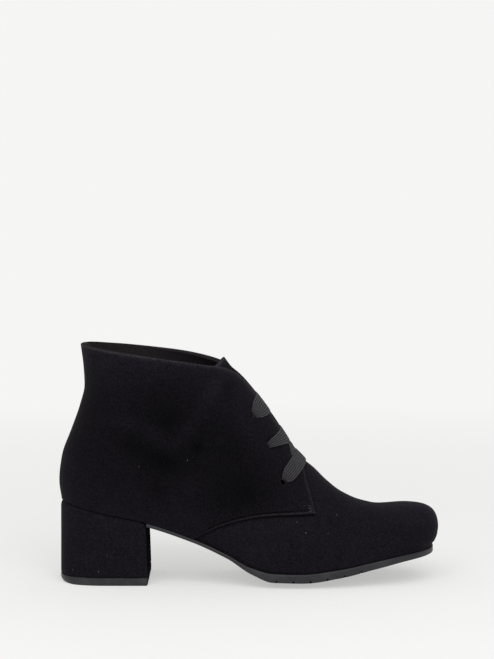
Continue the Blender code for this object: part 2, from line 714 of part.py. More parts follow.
def heel_outline(front_x, taper, power=2.0):
    """The heel seen from above as one loop, from the breast round the back, set in by taper at its sides.

    A power over 2 makes its back corners squarer than the seat.
    """
    steps = 12
    back_x = SECTIONS[0].x + END_STEP
    x = back_x + (front_x - back_x) * (1 - np.cos(np.linspace(0, math.pi / 2, steps)))
    (outer_x, outer_y), (inner_x, inner_y) = feather_outline(x, HEEL_MARGIN)
    outer_x[-1] = inner_x[-1] = front_x
    share = np.clip(1 - (x - SECTIONS[0].x) / BACK_ROUND, 0, None)
    wider = (1 - share**power) ** (1 / power) / (1 - share**2) ** (1 / 2)
    wider *= 1 - taper / SECTIONS[1].out_feather
    return [*zip(outer_x, outer_y * wider)][::-1] + [*zip(inner_x, inner_y * wider)]


def stacked(name, levels):
    """A solid through loops of points that match one to one, from the top loop down."""
    mesh = bmesh.new()
    loops = [[mesh.verts.new(Vector(p) * MM) for p in level] for level in levels]
    count = len(levels[0])
    for one, two in zip(loops, loops[1:]):
        for k in range(count):
            mesh.faces.new([one[k], two[k], two[(k + 1) % count], one[(k + 1) % count]])
    mesh.faces.new(loops[0])
    mesh.faces.new(loops[-1][::-1])
    return finished(name, mesh)


def make_heel():
    """Block under the heel seat: its top follows the seat, its breast leans a little forward."""
    steps = 4
    top, foot = heel_outline(BREAST_TOP_X, 0.0), heel_outline(BREAST_FOOT_X, HEEL_TAPER, HEEL_SQUARE)
    floor = TOP_PIECE_THICK + GAP
    levels = []
    for share in np.linspace(0, 1, steps + 1):
        level = []
        for (top_x, top_y), (foot_x, foot_y) in zip(top, foot):
            seat = float(feather_z(np.clip(top_x, SECTIONS[0].x, None))) - GAP
            x, y = top_x + (foot_x - top_x) * share, top_y + (foot_y - top_y) * share
            level.append((x, y, seat + (floor - seat) * share))
        levels.append(level)
    heel = stacked("heel_block", levels)
    paint(heel, BLACK_SUEDE)
    return heel


def make_top_piece():
    """Rubber lift under the heel, with its ground edge bevelled at the back."""
    loop = heel_outline(BREAST_FOOT_X, HEEL_TAPER, HEEL_SQUARE)
    back_x = min(x for x, _ in loop)
    ground = []
    for x, y in loop:
        near = max(0.0, 1 - (x - back_x) / HEEL_BEVEL_REACH)
        ground.append((x + HEEL_BEVEL * near**HEEL_BEVEL_POWER, y * (1 - HEEL_BEVEL_NARROW * near), 0.0))
    waist = [(x, y, TOP_PIECE_THICK * HEEL_BEVEL_FROM) for x, y in loop]
    piece = stacked("heel_top_piece", [[(x, y, TOP_PIECE_THICK) for x, y in loop], waist, ground])
    paint(piece, SOLE_RUBBER)
    return piece


def centre_on_floor(parts):
    """Hangs every part from one empty, so that the boot stands centred over the origin."""
    bpy.context.view_layer.update()
    graph = bpy.context.evaluated_depsgraph_get()
    corners = np.array([corner for part in parts for corner in part.evaluated_get(graph).bound_box])
    low, high = corners.min(axis=0), corners.max(axis=0)
    boot = bpy.data.objects.new("boot", None)
    bpy.context.scene.collection.objects.link(boot)
    boot.location = (-(low[0] + high[0]) / 2, -(low[1] + high[1]) / 2, -low[2])
    for thing in bpy.context.scene.collection.objects:
        if thing != boot:
            thing.parent = boot


def main():
    for thing in list(bpy.data.objects):
        bpy.data.objects.remove(thing)
    sheet = Sheet(columns=43, rows=12)
    pins = eyelet_cutter()
    slot = throat_cutter()
    parts = [make_upper(sheet, slot, pins)]
    parts += [make_quarter(sheet, side, slot, pins) for side in (OUTER, INNER)]
    parts += [make_tongue(), make_lace(), make_insole(), make_outsole(), make_heel(), make_top_piece()]
    centre_on_floor(parts)


main()
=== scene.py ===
import math

import bmesh
import bpy
import numpy as np
from mathutils import Matrix, Vector


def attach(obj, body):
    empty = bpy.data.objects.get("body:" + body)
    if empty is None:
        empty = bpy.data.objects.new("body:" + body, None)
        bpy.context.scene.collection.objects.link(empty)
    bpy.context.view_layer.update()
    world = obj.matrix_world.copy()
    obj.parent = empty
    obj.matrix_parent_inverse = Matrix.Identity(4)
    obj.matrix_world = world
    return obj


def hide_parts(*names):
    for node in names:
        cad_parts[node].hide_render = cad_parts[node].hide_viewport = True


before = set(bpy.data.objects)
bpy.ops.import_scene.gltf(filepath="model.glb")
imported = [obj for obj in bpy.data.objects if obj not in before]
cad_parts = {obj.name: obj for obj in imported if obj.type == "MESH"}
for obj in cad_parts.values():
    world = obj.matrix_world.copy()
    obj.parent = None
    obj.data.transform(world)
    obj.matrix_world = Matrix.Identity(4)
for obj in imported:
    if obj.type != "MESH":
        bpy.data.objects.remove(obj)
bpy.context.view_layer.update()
print("stage: frame loaded")

mm = 0.001
tiny = 1e-12  # keeps a division by a length from failing
outer, inner = -1, 1
bothSides = (outer, inner)
bootShift = np.array([-126.075, -1.066, 0.0])  # from the last's tables to the row frame, in mm

# The last: upright slices from heel to toe, and its outline from the side, in mm
sliceNames = "x featherZ ridgeY outFeather inFeather outBelly inBelly ankle collar archDepth archPower"
sliceNames = sliceNames.split()
slices = np.array([
    (3.0, 53.6, 0.0, 28.0, 28.0, 30.5, 30.5, 31.0, 32.5, 34.0, 2.0),
    (30.0, 47.9, 0.0, 28.5, 28.5, 31.0, 31.0, 31.6, 33.0, 34.0, 2.0),
    (58.0, 42.0, 0.0, 28.5, 27.5, 31.5, 30.8, 32.6, 33.5, 34.0, 2.0),
    (90.0, 31.3, 0.3, 29.8, 25.7, 33.0, 30.0, 34.0, 33.5, 35.0, 2.0),
    (112.0, 21.8, 1.0, 34.0, 27.5, 37.0, 31.5, 35.5, 33.5, 37.0, 2.0),
    (128.0, 13.6, 1.8, 38.6, 31.2, 41.0, 34.5, 36.5, 34.0, 40.0, 2.0),
    (142.0, 10.3, 2.6, 41.9, 34.9, 44.0, 38.0, 38.5, 36.0, 44.0, 2.0),
    (160.0, 10.0, 3.5, 44.0, 38.5, 45.8, 41.0, 41.0, 40.0, 46.0, 2.0),
    (185.0, 12.7, 4.5, 43.0, 38.5, 44.5, 40.5, 41.0, 40.0, 42.0, 2.1),
    (208.0, 17.0, 5.0, 39.0, 34.5, 40.5, 36.2, 38.0, 38.0, 36.0, 2.3),
    (230.0, 20.8, 5.0, 34.5, 30.0, 35.8, 31.4, 34.0, 34.0, 28.0, 2.5),
    (252.0, 22.5, 5.0, 31.0, 27.0, 32.0, 28.0, 30.0, 30.0, 27.0, 2.5),
])
last = {
    "widthHeights": [0.0, 15.0, 60.0, 110.0],  # feather, belly, ankle and collar above the feather edge
    "front": np.array([  # the ridge, from the collar over the instep to the toe
        (113.5, 140.8), (120.0, 134.9), (127.4, 126.3), (142.2, 106.2), (152.3, 90.4), (160.0, 80.9),
        (169.0, 73.6), (177.3, 65.4), (188.0, 56.9), (200.9, 51.0), (213.0, 48.8), (232.0, 49.8),
        (275.0, 49.6),
    ]),
    "back": np.array([
        (3.0, 53.6), (1.4, 66.0), (3.2, 82.0), (9.7, 100.0), (15.4, 116.0), (18.6, 130.0), (18.0, 142.0),
        (16.2, 156.8),
    ]),
    "tip": np.array([
        (247.8, 22.0), (247.8, 22.8), (250.2, 26.0), (251.8, 30.5), (252.5, 37.0), (252.5, 60.0),
    ]),
    "frontSpacing": 0.5, "instepDeep": 45.0, "backRound": 36.0, "tipRound": 38.0, "cornerPower": 5.0,
    "toeFrom": 214.0, "toeLong": 42.0, "toeDeep": 16.0,
}


def smooth(knots, values, where):  # cubic curve that never swings past a row
    knots, values = np.asarray(knots, float), np.asarray(values, float)
    where = np.clip(np.asarray(where, float), knots[0], knots[-1])
    if values.ndim == 1:
        values = np.repeat(values[:, None], where.size, axis=1)
    step = np.diff(knots)[:, None]
    rise = np.diff(values, axis=0) / step
    slope = np.empty_like(values)
    slope[0], slope[-1] = rise[0], rise[-1]
    sameWay = rise[:-1] * rise[1:] > 0
    safe = np.where(sameWay, rise[:-1] + rise[1:], 1.0)
    slope[1:-1] = np.where(sameWay, 2 * rise[:-1] * rise[1:] / safe, 0.0)
    flat = where.ravel()
    low = np.clip(np.searchsorted(knots, flat, side="right") - 1, 0, len(knots) - 2)
    each = np.arange(flat.size)
    width = step[low, 0]
    t = (flat - knots[low]) / width
    start, end = values[low, each], values[low + 1, each]
    leave, arrive = slope[low, each] * width, slope[low + 1, each] * width
    curve = start + (end - start) * t * t * (3 - 2 * t) + leave * t * (1 - t) ** 2 - arrive * t * t * (1 - t)
    return curve.reshape(where.shape)


def unit(vectors):
    return vectors / (np.linalg.norm(vectors, axis=-1, keepdims=True) + tiny)


def eased(count):  # from 0 to 1, closer together towards 1
    return np.sin(np.linspace(0, math.pi / 2, count + 1))


def easedBoth(count):  # from 0 to 1, closer together at both ends
    return (1 - np.cos(np.linspace(0, math.pi, count + 1))) / 2


def walked(points):  # distance along a line to each of its points
    return np.concatenate([[0.0], np.cumsum(np.linalg.norm(np.diff(points, axis=0), axis=1))])


def along(points, shares, curved=True):  # places on a line through the points, by share of its length
    points = np.asarray(points, float)
    far = walked(points)
    at = np.asarray(shares) * far[-1]
    pick = smooth if curved else lambda knots, values, where: np.interp(where, knots, values)
    return np.stack([pick(far, column, at) for column in points.T], axis=-1)


def lastAt(name, x):
    return smooth(slices[:, 0], slices[:, sliceNames.index(name)], x)


def featherZ(x):
    return lastAt("featherZ", x)


def ridgeY(x):
    return lastAt("ridgeY", x)


def backX(z):
    return smooth(last["back"][:, 1], last["back"][:, 0], z)


def tipX(z):
    return smooth(last["tip"][:, 1], last["tip"][:, 0], z)


frontSteps = round(walked(last["front"])[-1] / last["frontSpacing"])
frontLine = along(last["front"], np.linspace(0, 1, frontSteps + 1))
heelX, toeX = slices[0, 0], float(tipX(featherZ(slices[-1, 0])))  # ends of the feather edge


def frontDepth(x, z):  # distance from the ridge line, seen from the side
    px, pz = np.ravel(x)[:, None], np.ravel(z)[:, None]
    run = np.diff(frontLine, axis=0)
    fromX, fromZ = px - frontLine[:-1, 0], pz - frontLine[:-1, 1]
    share = (fromX * run[:, 0] + fromZ * run[:, 1]) / (run**2).sum(axis=1)
    share[:, 1:] = np.clip(share[:, 1:], 0, None)
    share = np.minimum(share, 1)
    return np.hypot(fromX - share * run[:, 0], fromZ - share * run[:, 1]).min(axis=1).reshape(np.shape(x))


def edgeShare(x, z):  # 1 on the ridge, the back seam and the toe
    front = 1 - frontDepth(x, z) / lastAt("archDepth", x)
    tip = 1 - (tipX(z) - x) / last["tipRound"]
    back = 1 - (x - backX(z)) / last["backRound"]
    power = last["cornerPower"]
    return sum(np.clip(share, 0, None) ** power for share in (front, tip, back)) ** (1 / power)


def halfWidth(x, z, side):
    x, z = np.asarray(x, float), np.asarray(z, float)
    names = ("outFeather", "outBelly") if side == outer else ("inFeather", "inBelly")
    widths = np.stack([np.ravel(lastAt(name, x)) for name in (*names, "ankle", "collar")])
    full = smooth(last["widthHeights"], widths, np.ravel(z - featherZ(x))).reshape(x.shape)
    power = lastAt("archPower", x)
    return full * np.clip(1 - edgeShare(x, z) ** power, 0, None) ** (1 / power)


def bisect(inside, low, high, steps=34):
    for _ in range(steps):
        middle = (low + high) / 2
        held = inside(middle)
        low, high = np.where(held, middle, low), np.where(held, high, middle)
    return low


def skin(places, side):  # places in the side view to points on the last
    x, z = places[..., 0], places[..., 1]
    return np.stack([x, ridgeY(x) + side * halfWidth(x, z, side), z], axis=-1)


def skinNormal(places, side, step=0.4):
    slopes = []
    for nudge in (np.array([step, 0.0]), np.array([0.0, step])):
        slopes.append((skin(places + nudge, side) - skin(places - nudge, side))[..., 1] / (2 * step))
    return unit(np.stack([-slopes[0], np.ones_like(slopes[0]), -slopes[1]], axis=-1)) * side


def ridgePlace(down):  # side view of the ridge that far down, and the way out of the last there
    at = np.asarray(down, float) / last["frontSpacing"]
    low = np.clip(np.floor(at).astype(int), 0, len(frontLine) - 2)
    run = frontLine[low + 1] - frontLine[low]
    ridge = frontLine[low] + (at - low)[..., None] * run
    run = unit(run)
    return ridge, np.stack([-run[..., 1], run[..., 0]], axis=-1)


def instepPlace(down, aside):  # side view of the point that far down the ridge and that far from it
    down, aside = np.broadcast_arrays(np.asarray(down, float), np.asarray(aside, float))
    ridge, out = ridgePlace(down)

    def narrower(depth):
        at = ridge - out * depth[..., None]
        wide = [halfWidth(at[..., 0], at[..., 1], side) for side in bothSides]
        return np.where(aside < 0, *wide) < np.abs(aside)

    depth = bisect(narrower, np.zeros(down.shape), np.full(down.shape, last["instepDeep"]))
    return ridge - out * depth[..., None]


def instepPoint(down, aside):
    at = instepPlace(down, aside)
    return np.stack([at[..., 0], ridgeY(at[..., 0]) + aside, at[..., 1]], axis=-1)


def instepNormal(down, aside, step=0.5):
    down, aside = np.broadcast_arrays(np.asarray(down, float), np.asarray(aside, float))
    ahead = instepPoint(down + step, aside) - instepPoint(down - step, aside)
    over = instepPoint(down, aside + step) - instepPoint(down, aside - step)
    normal = np.cross(over, ahead)
    return unit(normal * np.sign(normal[..., :1] + normal[..., 2:]))


def coons(bottom, top, left, right, us, vs):  # grid between four lines; vs may differ from column to column
    u, v = us[:, None, None], vs[..., None]
    ruled = bottom[:, None] * (1 - v) + top[:, None] * v
    ends = left * (1 - u) + right * u
    lowCorners = (bottom[0] * (1 - u) + bottom[-1] * u) * (1 - v)
    highCorners = (top[0] * (1 - u) + top[-1] * u) * v
    return ruled + ends - lowCorners - highCorners


def gridNormals(points):
    return unit(np.cross(np.gradient(points, axis=0), np.gradient(points, axis=1)))


def build(name, points, faces, materials, faceSlots=None, layers=None, uv=None, sharp=None):
    mesh = bmesh.new()
    held = {key: mesh.verts.layers.float.new(key) for key in layers or {}}  # wear with a painted sheen, and tone with painted shading
    uvLayer = mesh.loops.layers.uv.new("along") if uv is not None else None
    verts = [mesh.verts.new(p) for p in (np.asarray(points) + bootShift) * mm]
    for key, layer in held.items():
        for vert, value in zip(verts, layers[key]):
            vert[layer] = value
    for k, ring in enumerate(faces):
        face = mesh.faces.new([verts[i] for i in ring])
        face.material_index = faceSlots[k] if faceSlots is not None else 0
        face.smooth = True
        if uvLayer:
            for loop, i in zip(face.loops, ring):
                loop[uvLayer].uv = uv[i]
    bmesh.ops.remove_doubles(mesh, verts=mesh.verts, dist=0.002 * mm)
    bmesh.ops.recalc_face_normals(mesh, faces=mesh.faces)
    data = bpy.data.meshes.new(name)
    mesh.to_mesh(data)
    mesh.free()
    for material in materials:
        data.materials.append(material)
    if sharp:
        data.set_sharp_from_angle(angle=math.radians(sharp))
    piece = bpy.data.objects.new(name, data)
    bpy.context.scene.collection.objects.link(piece)
    return piece


def place(piece, node):
    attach(piece, "root")
    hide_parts(node)


def panel(name, grid, normals, low, high, materials, roundness=1.0, rimSteps=4, folded=False,
          layers=None, cutEdgeShade=None):
    # A closed sheet of leather over a grid, with rounded edges. folded leaves its last row open, to be welded
    nu, nv = grid.shape[:2]
    count = nu * nv
    middle, half = [np.broadcast_to(value, (nu, nv)) for value in ((low + high) / 2, (high - low) / 2)]
    heights = (middle + half, middle - half)
    points = [(grid + normals * height[..., None]).reshape(-1, 3) for height in heights]
    faces, faceSlots = [], []
    for i in range(nu - 1):
        for j in range(nv - 1):
            ring = [i * nv + j, (i + 1) * nv + j, (i + 1) * nv + j + 1, i * nv + j + 1]
            faces += [ring, [count + k for k in reversed(ring)]]
            faceSlots += [0, len(materials) - 1]
    loop = [(i, 0) for i in range(nu)]
    if folded:
        loop = [(i, nv - 1) for i in range(nu - 1, 0, -1)] + [(0, j) for j in range(nv - 1, 0, -1)] + loop
    else:
        loop += [(nu - 1, j) for j in range(1, nv)] + [(i, nv - 1) for i in range(nu - 2, -1, -1)]
        loop += [(0, j) for j in range(nv - 2, 0, -1)]
    rows, columns = np.array(loop).T
    base, normal = grid[rows, columns], normals[rows, columns]
    out = base - grid[np.clip(rows, 1, nu - 2), np.clip(columns, 1, nv - 2)]
    way = unit(np.roll(base, -1, axis=0) - np.roll(base, 1, axis=0))
    for axis in (normal, way):
        out -= axis * (out * axis).sum(axis=1, keepdims=True)
    out = unit(out)
    if folded:
        out[0] = out[-1] = (out[0] + out[-1]) / 2
    centre, radius = middle[rows, columns, None], half[rows, columns, None]
    rings = [[i * nv + j for i, j in loop]]
    for k in range(1, rimSteps):
        turn = math.pi * k / rimSteps
        rim = base + normal * (centre + radius * math.cos(turn)) + out * radius * roundness * math.sin(turn)
        points.append(rim)
        start = 2 * count + (k - 1) * len(loop)
        rings.append(list(range(start, start + len(loop))))
    rings.append([count + i * nv + j for i, j in loop])
    steps = range(len(loop) - 1) if folded else range(len(loop))
    for one, two in zip(rings, rings[1:]):
        for k in steps:
            following = (k + 1) % len(loop)
            faces.append([one[k], two[k], two[following], one[following]])
            faceSlots.append(0)
    spread = {}
    for key, values in (layers or {}).items():
        # the cut edge's rims can take a painted shade
        darker = cutEdgeShade if key == "tone" and cutEdgeShade else [0.0] * (rimSteps - 1)
        rims = [values[rows, columns] + step for step in darker]
        spread[key] = np.concatenate([values.ravel(), values.ravel(), *rims])
    return build(name, np.concatenate(points), faces, materials, faceSlots, spread)


def ringed(rings):  # closed solid through rings of points that match one to one
    count = len(rings[0])
    faces = []
    for k in range(len(rings) - 1):
        for i in range(count):
            here, following = k * count + i, k * count + (i + 1) % count
            faces.append([here, here + count, following + count, following])
    end = (len(rings) - 1) * count
    faces += [list(range(count)), list(range(end, end + count))[::-1]]
    return np.concatenate(rings), faces


def joined(parts):  # points and faces of many solids as one
    starts = np.cumsum([0] + [len(part[0]) for part in parts])
    faces = [[int(start) + i for i in face] for start, part in zip(starts, parts) for face in part[1]]
    return np.concatenate([part[0] for part in parts]), faces


def solid(name, rings, materials, node, slots=None, sharp=50):
    points, faces = ringed(rings)
    place(build(name, points, faces, materials, slots, sharp=sharp), node)


def punch(piece, tools):  # cuts holes and keeps the result as the piece's own mesh
    step = piece.modifiers.new("holes", "BOOLEAN")
    step.operation, step.solver, step.object = "DIFFERENCE", "EXACT", tools
    bpy.context.view_layer.update()
    graph = bpy.context.evaluated_depsgraph_get()
    data = bpy.data.meshes.new_from_object(piece.evaluated_get(graph))
    piece.modifiers.clear()
    old, piece.data = piece.data, data
    bpy.data.meshes.remove(old)


def stroked(places, strokes, least=0.35):  # sum of strokes in the side view, which weaken towards both ends
    total = np.zeros(places.shape[:-1])
    for start, end, reach, amount in strokes:
        a, b = np.array(start, float), np.array(end, float)
        share = np.clip(((places - a) @ (b - a)) / ((b - a) @ (b - a)), 0, 1)
        away = np.linalg.norm(places - a - share[..., None] * (b - a), axis=-1)
        total += amount * np.exp(-((away / reach) ** 2)) * (least + (1 - least) * np.sin(share * math.pi))
    return total


def spotted(places, spots):  # sum of soft patches in the side view
    total = np.zeros(places.shape[:-1])
    for x, z, wide, high, amount in spots:
        total += amount * np.exp(-(((places[..., 0] - x) / wide) ** 2) - ((places[..., 1] - z) / high) ** 2)
    return total


# Shader node groups
def newGroup(name, inputs):
    group = bpy.data.node_groups.new(name, "ShaderNodeTree")
    for label, kind, value in inputs:
        socket = group.interface.new_socket(label, in_out="INPUT", socket_type="NodeSocket" + kind)
        if value is not None:
            socket.default_value = value
    for label, kind in (("Colour", "Color"), ("Roughness", "Float"), ("Height", "Float")):
        group.interface.new_socket(label, in_out="OUTPUT", socket_type="NodeSocket" + kind)
    return group, group.nodes.new("NodeGroupInput").outputs


def closeGroup(group, colour, roughness, height):
    result = group.nodes.new("NodeGroupOutput")
    for label, value in (("Colour", colour), ("Roughness", roughness), ("Height", height)):
        group.links.new(value, result.inputs[label])
    return group


def add(tree, kind, values=None, **settings):
    node = tree.nodes.new("ShaderNode" + kind)
    for key, value in settings.items():
        setattr(node, key, value)
    for key, value in (values or {}).items():
        if isinstance(value, bpy.types.NodeSocket):
            tree.links.new(value, node.inputs[key])
        else:
            node.inputs[key].default_value = value
    return node


def noise(tree, vector, scale, detail=2.0, roughness=0.5):
    node = add(tree, "TexNoise", {"Vector": vector, "Scale": scale, "Detail": detail, "Roughness": roughness})
    return node.outputs["Fac"]


def stretched(tree, vector, scale, turn=0.0):
    return add(tree, "Mapping", {"Vector": vector, "Rotation": (0, turn, 0), "Scale": scale}).outputs[0]


def ranged(tree, value, low, high, toLow=0.0, toHigh=1.0):
    values = {"Value": value, "From Min": low, "From Max": high, "To Min": toLow, "To Max": toHigh}
    return add(tree, "MapRange", values).outputs["Result"]


def reckon(tree, operation, one, two):
    return add(tree, "Math", {0: one, 1: two}, operation=operation).outputs[0]


def weighted(tree, parts):  # sum of values by weight
    total = 0.0
    for value, weight in parts:
        total = reckon(tree, "ADD", reckon(tree, "MULTIPLY", value, weight), total)
    return total


def blended(tree, share, one, two):
    return add(tree, "Mix", {0: share, 6: one, 7: two}, data_type="RGBA").outputs[2]


def napGroup():  # brushed suede: soft mottle, short fibres, specks of dust, edges lightened by wear and by a painted sheen, and painted shading
    group, given = newGroup("suedeNap", [
        ("Vector", "Vector", None), ("Dark", "Color", (0.0029, 0.0024, 0.0038, 1)),
        ("Light", "Color", (0.0104, 0.0088, 0.0129, 1)), ("RubbedAndSheen", "Color", (0.034, 0.031, 0.036, 1)),
        ("Wear", "Float", 0.0), ("Tone", "Float", 0.0),
    ])
    brushed = stretched(group, given["Vector"], (1.0, 1.0, 0.6), 0.5)
    cloud, mottle = noise(group, brushed, 34.0), noise(group, brushed, 190.0, 3.0, 0.6)
    tuft = noise(group, given["Vector"], 760.0, 2.0, 0.6)
    fibre = noise(group, given["Vector"], 1700.0, 2.0, 0.65)
    mixed = weighted(group, [(tuft, 0.44), (fibre, 0.38), (cloud, 0.08), (mottle, 0.1)])
    share = ranged(group, mixed, 0.37, 0.63)
    colour = blended(group, share, given["Dark"], given["Light"])
    # the tone attribute scales the colour: painted shade and painted highlights, and darker patches
    scale = reckon(group, "ADD", given["Tone"], 1.0)
    colour = add(group, "VectorMath", {0: colour, "Scale": scale}, operation="SCALE").outputs["Vector"]
    speck = ranged(group, noise(group, given["Vector"], 900.0, 1.0), 0.74, 0.8, 0.0, 0.5)
    # the wear mask lightens worn edges and also paints a sheen and highlights along rims and edges
    rubAndSheen = reckon(group, "MULTIPLY", given["Wear"], ranged(group, tuft, 0.3, 0.6, 0.35, 1.0))
    colour = blended(group, reckon(group, "MAXIMUM", rubAndSheen, speck), colour, given["RubbedAndSheen"])
    roughness = ranged(group, share, 0.0, 1.0, 0.98, 0.86)
    return closeGroup(group, colour, roughness, weighted(group, [(fibre, 0.6), (tuft, 0.7)]))


def weaveGroup():  # flat lace: ribs along its length, crossed by the weft
    group, given = newGroup("laceWeave", [
        ("Along", "Vector", None), ("Rib Depth", "Float", 1.0), ("Weft", "Float", 0.3),
        ("Dark", "Color", (0.004, 0.0036, 0.0045, 1)), ("Light", "Color", (0.0485, 0.0442, 0.052, 1)),
    ])
    parts = add(group, "SeparateXYZ", {0: given["Along"]}).outputs
    fuzz = noise(group, given["Along"], 2.2, 3.0, 0.7)
    across = reckon(group, "ADD", parts["X"], ranged(group, fuzz, 0.3, 0.7, -0.14, 0.14))
    slanted = weighted(group, [(parts["Y"], 1.1), (across, 1.0)])
    waves = [reckon(group, "PINGPONG", value, 0.5) for value in (across, slanted)]
    rib, weft = [reckon(group, "MULTIPLY", wave, 2.0) for wave in waves]
    height = weighted(group, [(rib, given["Rib Depth"]), (weft, given["Weft"]), (fuzz, 0.35)])
    colour = blended(group, ranged(group, height, 0.7, 1.15), given["Dark"], given["Light"])
    return closeGroup(group, colour, ranged(group, height, 0.2, 1.2, 0.95, 0.75), height)


def rubberGroup():  # moulded rubber: fine grain, faint scuffs and dust
    group, given = newGroup("soleRubber", [
        ("Vector", "Vector", None), ("Base", "Color", (0.0145, 0.0142, 0.0172, 1)),
        ("Dust", "Color", (0.06, 0.059, 0.064, 1)), ("Dusting", "Float", 0.25),
    ])
    grain = noise(group, given["Vector"], 2400.0, 2.0, 0.6)
    cloud = noise(group, given["Vector"], 90.0, 4.0, 0.6)
    scuff = noise(group, stretched(group, given["Vector"], (0.25, 0.25, 3.0)), 420.0, 3.0, 0.6)
    dusty = reckon(group, "MULTIPLY", ranged(group, cloud, 0.42, 0.7), given["Dusting"])
    dusty = reckon(group, "ADD", dusty, ranged(group, scuff, 0.6, 0.8, 0.0, 0.18))
    colour = blended(group, dusty, given["Base"], given["Dust"])
    roughness = ranged(group, cloud, 0.3, 0.7, 0.42, 0.6)
    return closeGroup(group, colour, roughness, weighted(group, [(grain, 1.0), (scuff, 0.4)]))


groups = {"suede": napGroup(), "weave": weaveGroup(), "rubber": rubberGroup()}


def shaded(name, group, given, bump, distance, **constants):  # a material with one group on the shader
    material = bpy.data.materials.new(name)
    material.use_nodes = True
    tree = material.node_tree
    shader = tree.nodes["Principled BSDF"]
    effect = tree.nodes.new("ShaderNodeGroup")
    effect.node_tree = groups[group]
    if "Vector" in effect.inputs:
        tree.links.new(add(tree, "TexCoord").outputs["Object"], effect.inputs["Vector"])
    if "Along" in effect.inputs:
        tree.links.new(add(tree, "UVMap", uv_map="along").outputs["UV"], effect.inputs["Along"])
    # these attributes carry painted sheen and painted shading into the colour
    for key in ("Wear", "Tone"):
        if key in effect.inputs:
            held = add(tree, "Attribute", attribute_name=key.lower())
            tree.links.new(held.outputs["Fac"], effect.inputs[key])
    for key, value in given.items():
        effect.inputs[key].default_value = value
    lift = add(tree, "Bump", {"Strength": bump, "Distance": distance, "Height": effect.outputs["Height"]})
    tree.links.new(effect.outputs["Colour"], shader.inputs["Base Color"])
    tree.links.new(effect.outputs["Roughness"], shader.inputs["Roughness"])
    tree.links.new(lift.outputs["Normal"], shader.inputs["Normal"])
    for key, value in constants.items():
        shader.inputs[key.replace("_", " ")].default_value = value
    return material


sheen = {
    "Sheen_Weight": 0.03, "Sheen_Roughness": 0.4, "Sheen_Tint": (0.85, 0.8, 0.9, 1),
    "Specular_IOR_Level": 0.05,
}
cloth = {"Sheen_Weight": 0.05, "Specular_IOR_Level": 0.2}
liningColours = {"Dark": (0.009, 0.0072, 0.0086, 1), "Light": (0.018, 0.0146, 0.017, 1)}
threadColours = {
    "Dark": (0.0016, 0.0013, 0.002, 1), "Light": (0.005, 0.004, 0.006, 1), "RubbedAndSheen": (0.06, 0.056, 0.063, 1),
}
lintColours = {"Dark": (0.06, 0.06, 0.06, 1), "Light": (0.3, 0.3, 0.3, 1)}
# near-black rubber for the sole's grooves and notches, a painted shade in the recesses
grooveShadeColours = {"Base": (0.002, 0.002, 0.0024, 1), "Dusting": 0.0}
suede = shaded("blackSuede", "suede", {}, 0.55, 0.0004, **sheen)
heelSuede = shaded("heelSuede", "suede", {"Light": (0.0106, 0.009, 0.0132, 1)}, 0.6, 0.0004, **sheen)
# a shaded copy of the suede, without sheen or reflection, paints the heel's breast in shade
shadedBreastSuede = shaded("shadedBreastSuede", "suede", {}, 0.3, 0.0003, Specular_IOR_Level=0.0)
lining = shaded("darkLining", "suede", liningColours, 0.2, 0.0003, Specular_IOR_Level=0.15)
ribbedLace = shaded("ribbedLace", "weave", {}, 0.8, 0.0005, **cloth)
twillLace = shaded("twillLace", "weave", {"Rib Depth": 0.7, "Weft": 0.65}, 0.8, 0.0004, **cloth)
rubber = shaded("soleRubber", "rubber", {}, 0.25, 0.0002, Specular_IOR_Level=0.3)
grooveShadeRubber = shaded("grooveShadeRubber", "rubber", grooveShadeColours, 0.2, 0.0002, Specular_IOR_Level=0.0)
# a shaded copy of the rubber, without reflection, paints the top piece's breast in shade
shadedBreastRubber = shaded("shadedBreastRubber", "rubber", {}, 0.2, 0.0002, Specular_IOR_Level=0.0)
thread = shaded("sewingThread", "suede", threadColours, 0.2, 0.0002, Specular_IOR_Level=0.05)
fluff = shaded("paleLint", "suede", lintColours, 0.1, 0.0001)
print("stage: materials")

# The opening, and the lines in the side view that the panels share
opening = {
    "collar": [
        (16.2, 156.8), (50.0, 152.9), (80.0, 148.8), (95.0, 146.0), (104.0, 143.9), (108.5, 142.4),
        (112.3, 140.2),
    ],
    "drop": {  # x and height, added to the collar of each side
        outer: [(16.2, 0.0), (50.0, -0.6), (74.0, -1.4), (95.0, -1.8), (108.0, -1.3), (112.3, -0.6)],
        inner: [(16.2, 0.0), (34.0, -0.6), (60.0, -0.3), (92.0, 0.4), (108.0, 0.5), (112.3, 0.2)],
    },
    "throat": np.array([(-12.0, 12.0), (0.0, 8.5), (10.0, 6.0), (90.0, 5.0)]),  # down the ridge, half width
    "throatFrom": 5.0, "throatTo": 76.5, "collarSteps": 90, "throatSteps": 50,
    "seamGap": 0.0015,  # the halves all but meet in the back seam
}
eyelets = [(32.5, 22.4), (55.3, 23.8), (76.2, 31.2)]  # down the ridge, and aside from it
pin = {"radius": 1.95, "length": 9.0, "segments": 20}  # what punches an eyelet
underPoints = [(78.0, 35.6), (96.0, 50.0), (125.0, 57.0), (148.0, 61.5), (156.5, 70.0), (160.0, 80.4)]
edgePoints = [
    (86.0, 28.8), (98.0, 36.4), (109.3, 41.6), (122.5, 45.5), (136.0, 47.8), (149.0, 48.3), (168.7, 48.1),
]
facingPoints = np.array([(168.7, 48.1), (165.9, 58.4), (162.6, 69.9), (160.6, 80.2)])
lower = along(edgePoints, np.linspace(0, 1, 200))
lower = lower[np.argmax(lower[:, 1] > featherZ(lower[:, 0])):]  # from where the edge leaves the sole


